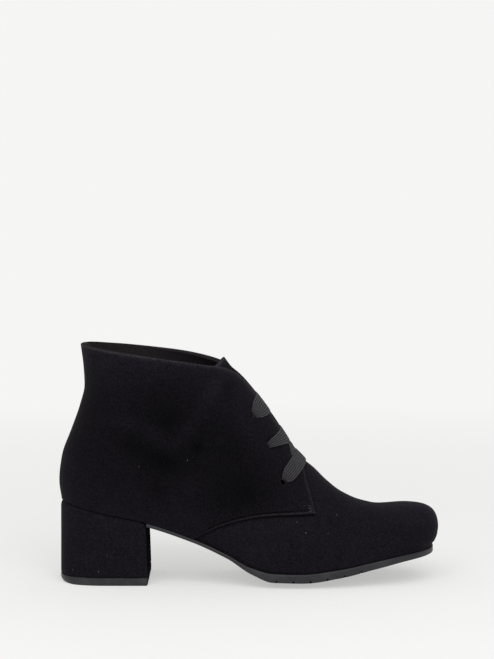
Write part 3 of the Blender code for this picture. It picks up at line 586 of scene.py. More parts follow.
def topLine(side, throatTo):  # the collar from the back seam, then down the throat
    collar = along(opening["collar"], np.linspace(0, 1, opening["collarSteps"]))
    dropX, drop = np.array(opening["drop"][side]).T
    collar[:, 1] += smooth(dropX, drop, collar[:, 0])
    down = np.linspace(opening["throatFrom"], throatTo, opening["throatSteps"])
    return np.concatenate([collar, instepPlace(down, side * smooth(*opening["throat"].T, down))])


def seatLine(endX, lift, steps):  # along the heel seat from the back seam
    x = np.linspace(heelX + opening["seamGap"], endX, steps)
    return np.stack([x, featherZ(x) + lift], axis=-1)


def seamLine(bottom, top, vs):  # up the back seam
    z = bottom[0, 1] + (top[0, 1] - bottom[0, 1]) * vs
    return np.stack([backX(z) + opening["seamGap"], z], axis=-1)


# Quarters: suede over vamp and shaft, each with its collar, facing and curved lower edge
quarter = {
    "names": {outer: "quarterOuter", inner: "quarterInner"},
    "nodes": {outer: "quarter_outer", inner: "quarter_inner"},
    "low": 0.25, "high": 1.5, "lift": 0.5, "roundness": 0.7, "columns": 150, "rows": 44, "seatSteps": 80,
    "crowding": 0.6, "backPower": 1.5,  # how the columns crowd at both ends, most at the back
    "edgeRows": [  # in mm over the lower edge
        0.0, 0.3, 0.6, 0.9, 1.2, 1.45, 1.7, 1.95, 2.2, 2.6, 3.3, 4.1, 4.5, 4.9, 5.3, 5.9, 7.0,
    ],
    "folds": [(0.6, 0.5, 0.2), (1.7, 0.4, -0.5), (4.9, 0.45, -0.2)],  # height over the edge, reach and depth
    "foldsBegin": 12.0,  # mm over which the folds begin, from where the edge leaves the sole
    # Lighter rims: a painted sheen along the collar and painted highlights along the facing, over some wear
    "collarWearAndSheen": 0.95, "facingWearAndHighlight": 0.55, "wearAndSheenReach": 0.75,
    "lipWearAndHighlight": 0.58, "lipLeast": 0.3, "lipGrows": 60.0, "lipAt": 0.65, "lipReach": 0.4,  # on the lower edge, a painted highlight along the lip of the fold, with some wear
    # painted shade in the grooves of the folded edge, and the darkest tone allowed
    "foldShade": 1.3, "deepest": -0.92,
    "cutEdgeShade": [-0.35, -0.8, -0.9],  # painted shade round the cut edge, from the outer face inwards, for the shadow under the lower edge
    "creases": [  # from, to, reach and depth in the side view
        ((27, 110), (75, 93), 5.5, 0.5),
        ((75, 93), (104, 130), 5.5, 0.5),
        ((58, 114), (82, 112), 8.0, -0.6),
        ((48, 94), (88, 82), 8.0, -0.6),
        ((104, 114), (124, 84), 8.0, -0.6),
        ((120, 126), (134, 98), 7.0, 0.5),
        ((24, 86), (52, 66), 10.0, 0.3),
        ((112, 70), (150, 74), 9.0, -0.5),
    ],
    "tone": [  # x, z, reach each way and amount: darker patches over the shaft and the back, and a painted sheen along the top of the collar
        (78, 100, 44, 38, -0.56), (122, 62, 40, 26, -0.5), (22, 112, 24, 40, -0.3),
        (44, 66, 28, 18, -0.18), (50, 152, 60, 12, 0.3),
    ],
    "strokes": [  # painted shade in the troughs of the creases and painted light on their ridges: from, to, reach and amount
        ((27, 110), (57, 106), 3.5, 0.2), ((57, 106), (75, 92), 4.5, 0.24), ((75, 92), (91, 110), 4.0, 0.24),
        ((91, 110), (104, 132), 4.5, 0.28), ((101, 126), (107, 139), 5.0, 0.2),
        ((120, 123), (127, 97), 8.0, 0.1), ((82, 68), (95, 66), 7.0, 0.14),
        ((53, 131), (88, 128), 12.0, -0.18), ((56, 113), (80, 112), 7.0, -0.14),
        ((78, 118), (70, 104), 6.0, -0.1), ((43, 99), (57, 87), 8.0, -0.26), ((57, 86), (82, 79), 8.0, -0.32),
        ((95, 97), (91, 89), 5.5, -0.32), ((104, 113), (124, 82), 10.0, -0.24),
        ((114, 71), (132, 74), 8.0, -0.08), ((107, 57), (140, 61), 9.0, -0.2),
        ((57, 63), (72, 66), 9.0, -0.1), ((112, 134), (110, 123), 3.5, -0.22),
    ],
}


def foldHeight(over):  # of the folded and stitched lower edge, at a height over it
    return sum(depth * np.exp(-(((over - at) / reach) ** 2)) for at, reach, depth in quarter["folds"])


def quarterPlaces(side):
    even = np.linspace(0, 1, quarter["columns"] + 1) ** quarter["backPower"]
    us = quarter["crowding"] * easedBoth(quarter["columns"]) + (1 - quarter["crowding"]) * even
    seat = seatLine(lower[0, 0], quarter["lift"], quarter["seatSteps"])
    bottom = along(np.concatenate([seat, lower[1:]]), us, curved=False)
    top = along(topLine(side, opening["throatTo"]), us, curved=False)
    tall = np.linalg.norm(top - bottom, axis=1)[:, None]
    near = np.array(quarter["edgeRows"]) / tall
    vs = np.concatenate([near, near[:, -1:] + (1 - near[:, -1:]) * eased(quarter["rows"])[1:]], axis=1)
    right = along(facingPoints, vs) + (top[-1] - facingPoints[-1]) * vs[..., None]
    places = coons(bottom, top, seamLine(bottom, top, vs), right, us, vs)
    over = vs * tall
    fromSole = bottom[:, :1] - lower[0, 0]
    begun = np.clip(fromSole / quarter["foldsBegin"], 0, 1)
    folds = foldHeight(over) * begun
    toFacing = np.linalg.norm(places - places[-1:], axis=-1)
    # painted sheen along the collar and painted highlights along the facing and the lower lip, with some wear
    collarWearAndSheen = quarter["collarWearAndSheen"] * np.exp(-(tall - over) / quarter["wearAndSheenReach"])
    facingWearAndHighlight = quarter["facingWearAndHighlight"] * np.exp(-toFacing / quarter["wearAndSheenReach"])
    grown = (1 - quarter["lipLeast"]) * np.clip(fromSole / quarter["lipGrows"], 0, 1)
    lipWearAndHighlight = quarter["lipWearAndHighlight"] * begun * (quarter["lipLeast"] + grown)
    lipWearAndHighlight = lipWearAndHighlight * np.exp(-(((over - quarter["lipAt"]) / quarter["lipReach"]) ** 2))
    wear = np.maximum(np.maximum(collarWearAndSheen, facingWearAndHighlight), lipWearAndHighlight)
    # darker patches, then painted shade and painted light along the creases
    tone = spotted(places, quarter["tone"]) + stroked(places, quarter["strokes"])
    # painted shade in the grooves of the folded lower edge
    tone = np.maximum(tone, quarter["deepest"]) + quarter["foldShade"] * np.minimum(folds, 0)
    return places, folds, {"wear": wear, "tone": tone}


def creased(places, side):  # the creased skin of quarter and shaft, and its normals before creasing
    grid = skin(places, side)
    normals = gridNormals(grid)
    normals *= np.sign(normals[..., 1].mean() * side)
    return grid + normals * stroked(places, quarter["creases"])[..., None], normals


def makeQuarter(side, pins):
    places, folds, layers = quarterPlaces(side)
    grid, normals = creased(places, side)
    piece = panel(quarter["names"][side], grid, normals, quarter["low"], quarter["high"] + folds, [suede],
                  quarter["roundness"], layers=layers, cutEdgeShade=quarter["cutEdgeShade"])
    punch(piece, pins)
    place(piece, quarter["nodes"][side])


# Shaft: the lined wall behind the quarters, open at the collar and in the throat
shaft = {
    "names": {outer: "shaftOuter", inner: "shaftInner"}, "low": -1.6, "high": 0.15, "roundness": 0.9,
    "columns": 90, "rows": 40, "seatSteps": 60, "shortOfThroat": 1.0, "belowCollar": np.array([0.0, 0.25]),
}


def makeShaft(side, pins):
    us, vs = easedBoth(shaft["columns"]), eased(shaft["rows"])
    bottom = along(seatLine(underPoints[0][0], 0.0, shaft["seatSteps"]), us, curved=False)
    top = topLine(side, opening["throatTo"] - shaft["shortOfThroat"])
    top = along(top, us, curved=False) - shaft["belowCollar"]
    left = seamLine(bottom, top, vs)
    right = along(underPoints, vs)
    right += (top[-1] - right[-1]) * vs[:, None]
    right[0] = bottom[-1]
    left[0], left[-1] = bottom[0], top[0]
    grid, normals = creased(coons(bottom, top, left, right, us, vs), side)
    piece = panel(shaft["names"][side], grid, normals, shaft["low"], shaft["high"], [lining],
                  shaft["roundness"])
    punch(piece, pins)
    place(piece, "upper")


# Vamp: one piece of suede over the foot and toe, its back edge under the quarters
vamp = {
    "low": -1.6, "high": 0.0, "roundness": 0.2, "rimSteps": 2, "columns": 140, "rows": 50, "crowding": 0.25,
    "lineSteps": 400, "belowFeather": 0.1, "ahead": 0.6, "toeTopX": 248.2,
    "edgeTone": -0.8, "edgeReach": 1.3, "pastFacing": 0.2,  # the shade under the quarters' lower edge
    "creases": [
        ((176, 60), (186, 34), 7.0, -0.35),
        ((192, 50), (204, 30), 8.0, 0.3),
        ((150, 40), (172, 24), 10.0, -0.3),
    ],
    # x, z, reach each way and amount: a painted highlight over the top of the toe, and a little darker low on
    # the vamp
    "tone": [(236, 47, 26, 8, 0.3), (200, 30, 40, 14, -0.08)],
}


def topZ(x):  # height of the ridge, and of the toe that rounds off from it
    ridge = np.interp(x, frontLine[:, 0], frontLine[:, 1])
    turn = bisect(lambda z: edgeShare(x, z) < 1, ridge - last["toeDeep"], ridge)
    return np.where(x < last["toeFrom"], ridge, turn)


def vampPlaces():  # one half in the side view
    us = (eased(vamp["columns"]) + np.linspace(0, 1, vamp["columns"] + 1)) / 2
    us += vamp["crowding"] * us * (1 - us)
    vs = eased(vamp["rows"])
    footX = np.linspace(underPoints[0][0], toeX, vamp["lineSteps"])
    bottom = along(np.stack([footX, featherZ(footX) - vamp["belowFeather"]], axis=-1), us, curved=False)
    overX = np.linspace(underPoints[-1][0] + vamp["ahead"], vamp["toeTopX"], vamp["lineSteps"])
    top = along(np.stack([overX, topZ(overX)], axis=-1), us, curved=False)
    left = along(underPoints, vs)
    left[0] = bottom[0]
    left += (top[0] - left[-1]) * vs[:, None]
    toeZ = bottom[-1, 1] + (top[-1, 1] - bottom[-1, 1]) * vs
    start = np.full(toeZ.shape, last["toeFrom"])
    front = bisect(lambda x: edgeShare(x, toeZ) < 1, start, start + last["toeLong"])
    right = np.stack([front, toeZ], axis=-1)
    bottom[-1], top[-1] = right[0], right[-1]
    return coons(bottom, top, left, right, us, vs)


def makeVamp():
    places, rows = vampPlaces(), vamp["rows"]
    sides = []
    for side in bothSides:
        points = skin(places, side)
        points[:, -1, 1] = ridgeY(points[:, -1, 0])
        points[-1, :, 1] = ridgeY(points[-1, :, 0])
        sides.append(points)
    grid = np.concatenate([sides[0], sides[1][:, -2::-1]], axis=1)
    normals = gridNormals(grid)
    normals *= -np.sign(normals[:, :rows, 1].mean())
    tip = normals[-1] + normals[-1, ::-1]
    tip[:, 1] = 0
    tip[rows] = tip[rows - 1]  # where the ridge meets the toe the sheet folds on itself
    normals[-1] = unit(tip)
    crease = stroked(places, vamp["creases"])
    grid = grid + normals * np.concatenate([crease, crease[:, -2::-1]], axis=1)[..., None]
    x, z = grid[..., 0], grid[..., 2]
    under = np.clip(np.interp(x, lower[:, 0], lower[:, 1]) - z, 0, None)  # mm below the quarters' edge
    shade = vamp["edgeTone"] * np.exp(-((under / vamp["edgeReach"]) ** 2))
    facingX = np.interp(z, facingPoints[:, 1], facingPoints[:, 0])
    # painted highlight on the toe, and painted shade under the quarters' edge
    tone = spotted(grid[..., [0, 2]], vamp["tone"]) + np.where(x < facingX + vamp["pastFacing"], shade, 0)
    piece = panel("vamp", grid, normals, vamp["low"], vamp["high"], [suede, lining], vamp["roundness"],
                  vamp["rimSteps"], True, {"tone": tone})
    place(piece, "upper")


# Tongue: soft suede under the throat, its raw peak standing just over the collar
tongue = {
    "rows": np.array([  # down the ridge, half width, outward lift on the ridge and its reach aside
        (-7.5, 14.0, 5.6, 8.5), (-3.0, 18.0, 4.6, 8.5), (0.0, 20.0, 4.1, 8.0), (10.0, 22.0, 3.9, 6.0),
        (20.0, 22.0, 3.7, 5.2), (32.0, 26.0, 3.1, 4.8), (44.0, 27.0, 4.3, 4.8), (56.0, 27.0, 3.1, 4.8),
        (66.0, 26.0, 2.6, 4.8), (90.0, 20.0, 0.0, 4.8),
    ]),
    "low": -4.6, "high": -2.9, "roundness": 0.8, "downSteps": 61, "asideSteps": 49, "peakPower": 1.5,
    "curl": 7.0, "curlTo": 6.0, "curlFrom": 2.0, "curlOver": 10.0, "curlPower": 1.2, "wearAndSheenReach": 1.2,
}


def makeTongue():
    knots, *columns = tongue["rows"].T
    down = np.linspace(knots[0], knots[-1], tongue["downSteps"])
    down = np.repeat(down[:, None], tongue["asideSteps"], axis=1)
    half, rise, reach = [smooth(knots, column, down) for column in columns]
    aside = half * np.linspace(-1, 1, tongue["asideSteps"])
    normals = instepNormal(down, aside)
    lift = rise * np.clip(1 - np.abs(aside / reach) ** tongue["peakPower"], 0, None)
    # its far half curls into the boot at the top
    curl = tongue["curl"] * np.clip((tongue["curlTo"] - down) / (tongue["curlTo"] - knots[0]), 0, 1)
    lift -= curl * np.clip((aside - tongue["curlFrom"]) / tongue["curlOver"], 0, 1) ** tongue["curlPower"]
    grid = instepPoint(down, aside) + normals * lift[..., None]
    wear = np.exp(-(down - knots[0]) / tongue["wearAndSheenReach"])
    piece = panel("softTongue", grid, normals, tongue["low"], tongue["high"], [suede], tongue["roundness"],
                  layers={"wear": wear})
    place(piece, "tongue")


def eyeletPins():
    mesh = bmesh.new()
    radius, length = pin["radius"] * mm, pin["length"] * mm
    for down, half in eyelets:
        for side in bothSides:
            centre, normal = instepPoint(down, side * half), instepNormal(down, side * half)
            turn = Vector((0, 0, 1)).rotation_difference(Vector(normal)).to_matrix().to_4x4()
            spot = Matrix.Translation(Vector((centre + bootShift) * mm))
            bmesh.ops.create_cone(
                mesh, cap_ends=True, segments=pin["segments"], radius1=radius, radius2=radius,
                depth=length, matrix=spot @ turn)
    data = bpy.data.meshes.new("eyeletPins")
    mesh.to_mesh(data)
    mesh.free()
    pins = bpy.data.objects.new("eyeletPins", data)
    bpy.context.scene.collection.objects.link(pins)
    return pins


pins = eyeletPins()
for side in bothSides:
    makeQuarter(side, pins)
    makeShaft(side, pins)
bpy.data.objects.remove(pins)
makeVamp()
makeTongue()
print("stage: upper")

# Lace: flat woven ribbon in bars over the facings, down through the eyelets and up inside
lace = {
    "width": 8.5, "thick": 0.8, "under": -2.25, "ribs": [9, 6, 7],
    "barSteps": 120, "climbSteps": 60, "linkSteps": 70, "acrossSteps": 15,
    "edgePower": 6, "edgeLeast": 0.12, "foldCentre": 0.33, "middleFold": -0.1,
    "bars": [  # short of the hole, height over the last, width and fold across, from each eyelet to the ridge
        [(2.8, -2.5, 3.0, 0.3), (1.7, -1.8, 3.0, 0.6), (1.1, -0.5, 3.2, 0.9), (1.1, 0.7, 4.0, 0.9),
         (1.5, 1.9, 6.2, 0.7), (2.6, 2.5, 9.0, 0.5), (5.0, 2.3, 11.8, 0.2), (9.5, 1.95, 14.2, 0.0),
         (15.0, 1.8, 15.6, -0.1)],
        [(2.2, -2.5, 3.0, 0.3), (0.8, -1.8, 3.0, 0.7), (-0.3, -0.6, 3.0, 0.9), (-0.9, 0.8, 3.2, 1.1),
         (-0.6, 2.0, 4.2, 0.9), (0.9, 2.6, 5.8, 0.5), (4.0, 2.4, 7.2, 0.2), (11.0, 1.95, 10.0, 0.0),
         (17.5, 1.8, 12.2, -0.1)],
        [(2.6, -2.5, 3.0, 0.3), (1.6, -1.8, 3.0, 0.7), (1.0, -0.5, 3.2, 1.0), (1.0, 0.7, 3.8, 1.0),
         (1.5, 2.0, 6.8, 0.7), (2.6, 2.5, 8.8, 0.3), (6.0, 2.2, 10.2, 0.1), (14.0, 1.95, 10.6, 0.0),
         (24.0, 1.8, 10.6, -0.1)],
    ],
    "middle": [(1.1, 16.2), (1.0, 12.8), (0.9, 10.6)],  # height and width on the ridge
    "bow": [0.6, -2.6, 0.8],  # how far a bar's middle lies up the ridge from its eyelets
    "climbs": [(2, 0, inner), (1, 0, outer)],  # inside, from eyelet to eyelet, and the side
    "short": 2.4, "pinched": 3.4, "widens": 2.2,
    "link": [  # from the lowest bar to the inner eyelet over it: down, aside, height and width
        (73.0, -13.6, 0.9, 8.5), (68.0, -9.6, 1.8, 8.5), (63.0, -5.5, 1.75, 7.6), (59.5, -2.0, 0.75, 7.0),
        (58.0, 0.6, 0.3, 6.5), (57.0, 2.6, -0.45, 6.0), (56.4, 4.4, -2.0, 5.4), (55.9, 6.4, -2.25, 5.0),
        (55.4, 14.0, -2.25, 4.4), (55.3, 21.4, -2.25, 3.4),
    ],
}


def ribbon(centre, across, out, width, fold, row):  # closed ribbon along a line of points
    t = np.linspace(-1, 1, lace["acrossSteps"])
    edge = np.clip(1 - np.abs(t) ** lace["edgePower"], lace["edgeLeast"], 1)
    edge = np.sqrt(edge)[:, None] * lace["thick"] / 2
    rings, uv = [], []
    far = walked(centre)
    for k in range(len(centre)):
        flat = centre[k] + np.outer(t * width[k] / 2, across[k])
        flat += np.outer(fold[k] * (t**2 - lace["foldCentre"]), out[k])
        rings.append(np.concatenate([flat + out[k] * edge, (flat - out[k] * edge)[::-1]]))
        uv += [(lace["ribs"][row] * (0.5 + s / 2), far[k]) for s in (*t, *t[::-1])]
    points, faces = ringed(rings)
    return points, faces, uv, far[-1]


def framed(down, aside, lift):  # points, outward normals and directions of a path beside the ridge
    normal = instepNormal(down, aside)
    centre = instepPoint(down, aside) + normal * lift[:, None]
    return centre, normal, unit(np.gradient(centre, axis=0))


def bar(row):  # from the outer eyelet over the ridge to the inner one
    down, half = eyelets[row]
    reach = [(half - short, lift, width, fold) for short, lift, width, fold in lace["bars"][row]]
    reach = np.array([*reach, (0.0, *lace["middle"][row], lace["middleFold"])])
    both = np.concatenate([reach * [-1, 1, 1, 1], reach[-2::-1]])
    knots = walked(both[:, :2])
    at = np.linspace(0, knots[-1], lace["barSteps"])
    aside, lift, width, fold = [smooth(knots, column, at) for column in both.T]
    path = down - lace["bow"][row] * np.clip(1 - (aside / half) ** 2, 0, 1)
    centre, normal, way = framed(path, aside, lift)
    run = instepPoint(path + 1, aside) - instepPoint(path - 1, aside)
    across = unit(run - way * (run * way).sum(axis=1, keepdims=True))
    out = np.cross(across, way)
    middle = len(at) // 2
    out *= np.sign((out[middle] * normal[middle]).sum())
    return ribbon(centre, across, out, width, fold, row)


def makeLace():
    lowest = len(eyelets) - 1
    paths = []  # down the ridge, aside, height and width
    for low, high, side in lace["climbs"]:
        share = np.linspace(0, 1, lace["climbSteps"])
        down, half = [eyelets[low][k] + (eyelets[high][k] - eyelets[low][k]) * share for k in (0, 1)]
        wide = np.clip(np.sin(share * math.pi) * lace["widens"], 0, 1)
        width = lace["pinched"] + (lace["width"] - lace["pinched"]) * wide
        paths.append((down, side * (half - lace["short"]), np.full(share.shape, lace["under"]), width))
    paths.append(along(lace["link"], np.linspace(0, 1, lace["linkSteps"])).T)
    strands = [bar(row) for row in range(len(eyelets))]
    for down, aside, lift, width in paths:
        centre, normal, way = framed(down, aside, lift)
        strands.append(ribbon(centre, np.cross(normal, way), normal, width, np.zeros(len(down)), lowest))
    points, faces = joined(strands)
    # The two upper bars are ribbed, all the rest is twill
    slots = [int(k >= lowest) for k, strand in enumerate(strands) for _ in strand[1]]
    uv = [spot for strand in strands for spot in strand[2]]
    piece = build("flatLace", points, faces, [ribbedLace, twillLace], slots, uv=uv, sharp=60)
    print(f"lace length {sum(strand[3] for strand in strands):.0f} mm")
    place(piece, "lace")


makeLace()
print("stage: lace")

# Sole: rubber from the heel's breast to the toe, thin at the waist and grooved under the ball
seatDrop = 0.3  # how far the sole and the heel lie below the feather edge, in mm
sole = {
    "rows": np.array([  # x, edge thickness, drop of the middle, margin beyond the feather edge
        (58.9, 2.3, 0.0, 2.0), (90.0, 2.3, 0.0, 1.6), (112.0, 2.6, 0.6, 1.2), (128.0, 4.2, 2.0, 1.0),
        (141.0, 5.8, 4.2, 1.0), (155.0, 5.8, 4.0, 1.0), (170.0, 5.8, 4.9, 1.0), (190.0, 5.4, 3.4, 1.0),
        (215.0, 4.6, 2.2, 1.0), (252.0, 3.4, 0.4, 1.0),
    ]),
    "evenTo": 230.0, "evenSteps": 170, "toeFrom": 231.0, "toeSteps": 33, "toePower": 1.2, "toeShort": 0.02,
    "grooves": 144.0 + 11.0 * np.arange(6), "grooveDepth": 1.3, "grooveHalf": 0.8, "grooveFloor": 0.6,
    "slack": 0.01, "grooveFade": 0.2, "notch": 0.9, "flatShare": 0.3, "crownPower": 1.3, "narrow": 8.0,
    "sideTop": [(0.5, 0.0), (0.1, -0.25), (0.0, -0.7)],  # inset, and height from the top
    "sideFoot": [(0.0, 0.6), (0.2, 0.2), (0.6, 0.0)],  # inset, and height from the foot
    "across": np.array([0.06, 0.12, 0.2, 0.28, 0.35, 0.5, 0.65, 0.72, 0.8, 0.88, 0.94]),
}


def featherOutline(x, margin):  # seen from above, the outer and the inner side
    z = featherZ(x)
    sides = []
    for side in bothSides:
        y = ridgeY(x) + side * halfWidth(x, z, side)
        runX, runY = np.gradient(x), np.gradient(y)
        share = side * margin / np.hypot(runX, runY)
        sides.append(np.stack([x - runY * share, y + runX * share], axis=-1))
    return sides


def section(one, two, narrow, side, across, heights):  # a ring across the foot: one side, middle, other side
    over = two - one
    wide = np.linalg.norm(over)
    inward = over / (wide + tiny) * min(1.0, wide / narrow)
    ring = [(*(one + inward * inset), z) for inset, z in side]
    ring += [(*(one + over * share), z) for share, z in zip(across, heights)]
    ring += [(*(two - inward * inset), z) for inset, z in reversed(side)]
    return np.array(ring)


def makeSole():
    toe = toeX - sole["toeShort"]
    even = np.linspace(sole["rows"][0, 0], sole["evenTo"], sole["evenSteps"])
    front = toe - (toe - sole["toeFrom"]) * (1 - eased(sole["toeSteps"])) ** sole["toePower"]
    half, floor = sole["grooveHalf"], sole["grooveFloor"]
    cuts = [sole["grooves"] + step for step in (-half, -floor, floor, half)]
    x = np.unique(np.concatenate([even, front, *cuts]))
    inGroove = np.abs(x[:, None] - sole["grooves"]).min(axis=1) <= floor + sole["slack"]
    raised = np.where(inGroove, sole["grooveDepth"], 0.0)
    thick, crown, margin = [smooth(sole["rows"][:, 0], column, x) for column in sole["rows"].T[1:]]
    one, two = featherOutline(x, margin)
    top = featherZ(x) - seatDrop
    edge = np.maximum(top - thick, 0.0)
    out = np.clip(np.abs(sole["across"] - 0.5) * 2 - sole["flatShare"], 0, None) / (1 - sole["flatShare"])
    arch = 1 - out ** sole["crownPower"]
    grooved = np.clip((out.max() - out) / sole["grooveFade"], 0, 1)  # only a notch shows at the edge
    rings = []
    for k in range(len(x)):
        foot = edge[k] + min(raised[k], sole["notch"])
        side = [(inset, top[k] + z) for inset, z in sole["sideTop"]]
        side += [(inset, foot + z) for inset, z in sole["sideFoot"]]
        under = np.maximum(edge[k] - crown[k] * arch, 0.0) + raised[k] * grooved
        rings.append(section(one[k], two[k], sole["narrow"], side, sole["across"], under))
    count, above = len(rings[0]), len(sole["sideTop"])
    # the grooves' faces take the near-black rubber as painted shade
    slots = [int(held and above <= i < count - above - 1)
             for held in inGroove[:-1] & inGroove[1:] for i in range(count)] + [0, 0]
    solid("rubberOutsole", rings, [rubber, grooveShadeRubber], "outsole", slots)


# Insole: a thin pad on the sole inside the boot, a little hollow
insole = {
    "short": 0.9, "steps": 69, "margin": -2.5, "rise": 0.3, "narrow": 6.0,
    "side": [(0.3, 0.0), (0.0, 0.5), (0.0, 1.6), (0.5, 2.3)],  # inset and height
    "across": np.array([0.2, 0.4, 0.6, 0.8]), "middle": 2.4, "hollow": 0.5,
}


def makeInsole():
    start, end = heelX + insole["short"], toeX - insole["short"]
    x = start + (end - start) * easedBoth(insole["steps"])
    one, two = featherOutline(x, insole["margin"])
    heights = insole["middle"] - insole["hollow"] * np.sin(insole["across"] * math.pi)
    rings = []
    for k, base in enumerate(featherZ(x) + insole["rise"]):
        side = [(inset, base + z) for inset, z in insole["side"]]
        rings.append(section(one[k], two[k], insole["narrow"], side, insole["across"], base + heights))
    solid("paddedInsole", rings, [lining], "insole", sharp=60)


# Heel: suede-covered block and its rubber top piece
heel = {
    "margin": 2.0, "breastTop": 58.4, "breastFoot": 59.6, "halfWidth": 28.5, "taper": 1.2, "round": 2.0,
    "square": 3.0, "corner": 1.6, "cornerSteps": 5, "loopSteps": 40, "backShort": 0.02, "lift": 5.2,
    "liftGap": 0.25, "bevel": 1.5, "bevelPower": 1.5, "bevelNarrows": 0.12, "bevelReach": 9.0,
    "rings": [  # share of the way down, and inset
        (0.0, 2.2), (0.012, 1.3), (0.034, 0.45), (0.06, 0.1), (0.08, 0.0),
        *((share, 0.0) for share in np.linspace(0.1, 0.9, 12)), (0.975, 0.0), (0.992, 0.25), (1.0, 0.8),
    ],
    "liftRings": [  # height, share of the bevel at the back, and inset
        (5.2, 0.0, 0.4), (5.0, 0.0, 0.05), (4.6, 0.0, 0.0), (2.9, 0.0, 0.0), (2.4, 0.08, 0.0),
        (1.2, 0.45, 0.0), (0.5, 0.8, 0.05), (0.0, 1.0, 0.5),
    ],
}


def heelLoop(breastX, taper, power):  # from above: outer breast corner, round the back, inner corner
    start = heelX + heel["backShort"]
    share = 1 - np.cos(np.linspace(0, math.pi / 2, heel["loopSteps"]))
    x = start + (breastX - heel["corner"] - start) * share
    back = np.clip(1 - (x - heelX) / last["backRound"], 0, None)
    wider = (1 - back**power) ** (1 / power) / (1 - back**2) ** 0.5  # the foot is squarer than the seat
    wider *= 1 - taper / heel["halfWidth"]
    turn = np.linspace(0, math.pi / 2, heel["cornerSteps"] + 1)[1:]
    corner = heel["corner"] * np.stack([np.sin(turn), np.cos(turn) - 1], axis=-1)
    halves = []
    for line, side in zip(featherOutline(x, heel["margin"]), bothSides):
        line[:, 1] *= wider
        halves.append(np.concatenate([line, line[-1] + corner * [1, side]]))
    return np.concatenate([halves[0][::-1], halves[1]])


seatLoop = heelLoop(heel["breastTop"], 0.0, heel["round"])
footLoop = heelLoop(heel["breastFoot"], heel["taper"], heel["square"])


def moved(loop, amount):  # the loop moved inwards
    way = unit(np.roll(loop, -1, axis=0) - np.roll(loop, 1, axis=0))
    normal = np.stack([-way[:, 1], way[:, 0]], axis=-1)
    return loop - normal * amount * np.sign(((loop - loop.mean(axis=0)) * normal).sum())


def breastSlots(rings):  # the second material, a shaded copy painted as shade, is on the breast
    count = len(rings[0])
    onBreast = (count - 2, count - 1, 0)
    return [int(i in onBreast) for _ in rings[1:] for i in range(count)] + [0, 0]


def makeHeel():
    seat = featherZ(np.clip(seatLoop[:, 0], heelX, None)) - seatDrop
    floor = heel["lift"] + heel["liftGap"]
    rings = []
    for share, tuck in heel["rings"]:
        loop = moved(seatLoop + (footLoop - seatLoop) * share, tuck)
        rings.append(np.column_stack([loop, seat + (floor - seat) * share]))
    solid("heelBlock", rings, [heelSuede, shadedBreastSuede], "heel_block", breastSlots(rings))


def makeTopPiece():
    near = np.clip(1 - (footLoop[:, 0] - footLoop[:, 0].min()) / heel["bevelReach"], 0, None)
    narrower = heel["bevelNarrows"] * near * footLoop[:, 1]
    shift = np.stack([heel["bevel"] * near ** heel["bevelPower"], -narrower], axis=-1)
    rings = []
    for z, share, tuck in heel["liftRings"]:
        rings.append(np.column_stack([moved(footLoop + shift * share, tuck), np.full(len(footLoop), z)]))
    solid("heelTopPiece", rings, [rubber, shadedBreastRubber], "heel_top_piece", breastSlots(rings))


makeSole()
makeInsole()
makeHeel()
makeTopPiece()
print("stage: sole and heel")

# Stitching in the folds of the quarters' lower edges, with a tack at each corner
stitching = {
    "names": {outer: "stitchesOuter", inner: "stitchesInner"},
    "length": 1.8, "gap": 0.9, "radius": 0.2, "arch": 0.26, "sink": 0.1, "endRadius": 0.45,
    "steps": 7, "lineSteps": 5, "edgeSteps": 240,
    "rows": [  # height over the lower edge, shares of the edge at both ends, and wear at both ends
        (1.7, 0.04, 0.985, 0.0, 0.3), (4.9, 0.1, 0.985, 0.22, 0.85),
    ],
    "wornFrom": 15.0, "wornOver": 5.0,  # mm before the corner
    "tack": [  # back from the facing and over the edge, in turn
        (0.9, 0.9), (4.2, 1.2), (1.0, 2.3), (3.6, 3.2), (1.1, 4.2), (3.0, 4.9),
    ],
    "tackLean": 0.26, "tackWear": 0.9,
}


def tube(points, normals, radius, count=6):  # thin closed tube along points on a surface
    across = np.cross(unit(np.gradient(points, axis=0)), normals)
    turn = np.linspace(0, 2 * math.pi, count, endpoint=False)
    rings = []
    for k in range(len(points)):
        ring = np.outer(np.cos(turn), across[k]) + np.outer(np.sin(turn), normals[k])
        rings.append(points[k] + ring * radius[k])
    return ringed(rings)


def stitch(line, side, high):  # one stitch over places in the side view
    line = along(line, np.linspace(0, 1, stitching["steps"]), curved=False)
    normals = skinNormal(line, side)
    arch = np.sin(np.linspace(0, math.pi, stitching["steps"]))
    points = skin(line, side) + normals * (high + stitching["arch"] * arch - stitching["sink"])[:, None]
    swell = stitching["endRadius"] + (1 - stitching["endRadius"]) * np.sqrt(np.clip(arch, 0, None))
    return tube(points, normals, stitching["radius"] * swell)


def edgePlaces(height):  # the lower edge, moved up
    line = along(lower, np.linspace(0, 1, stitching["edgeSteps"]), curved=False)
    way = unit(np.gradient(line, axis=0))
    return line + np.stack([-way[:, 1], way[:, 0]], axis=-1) * height


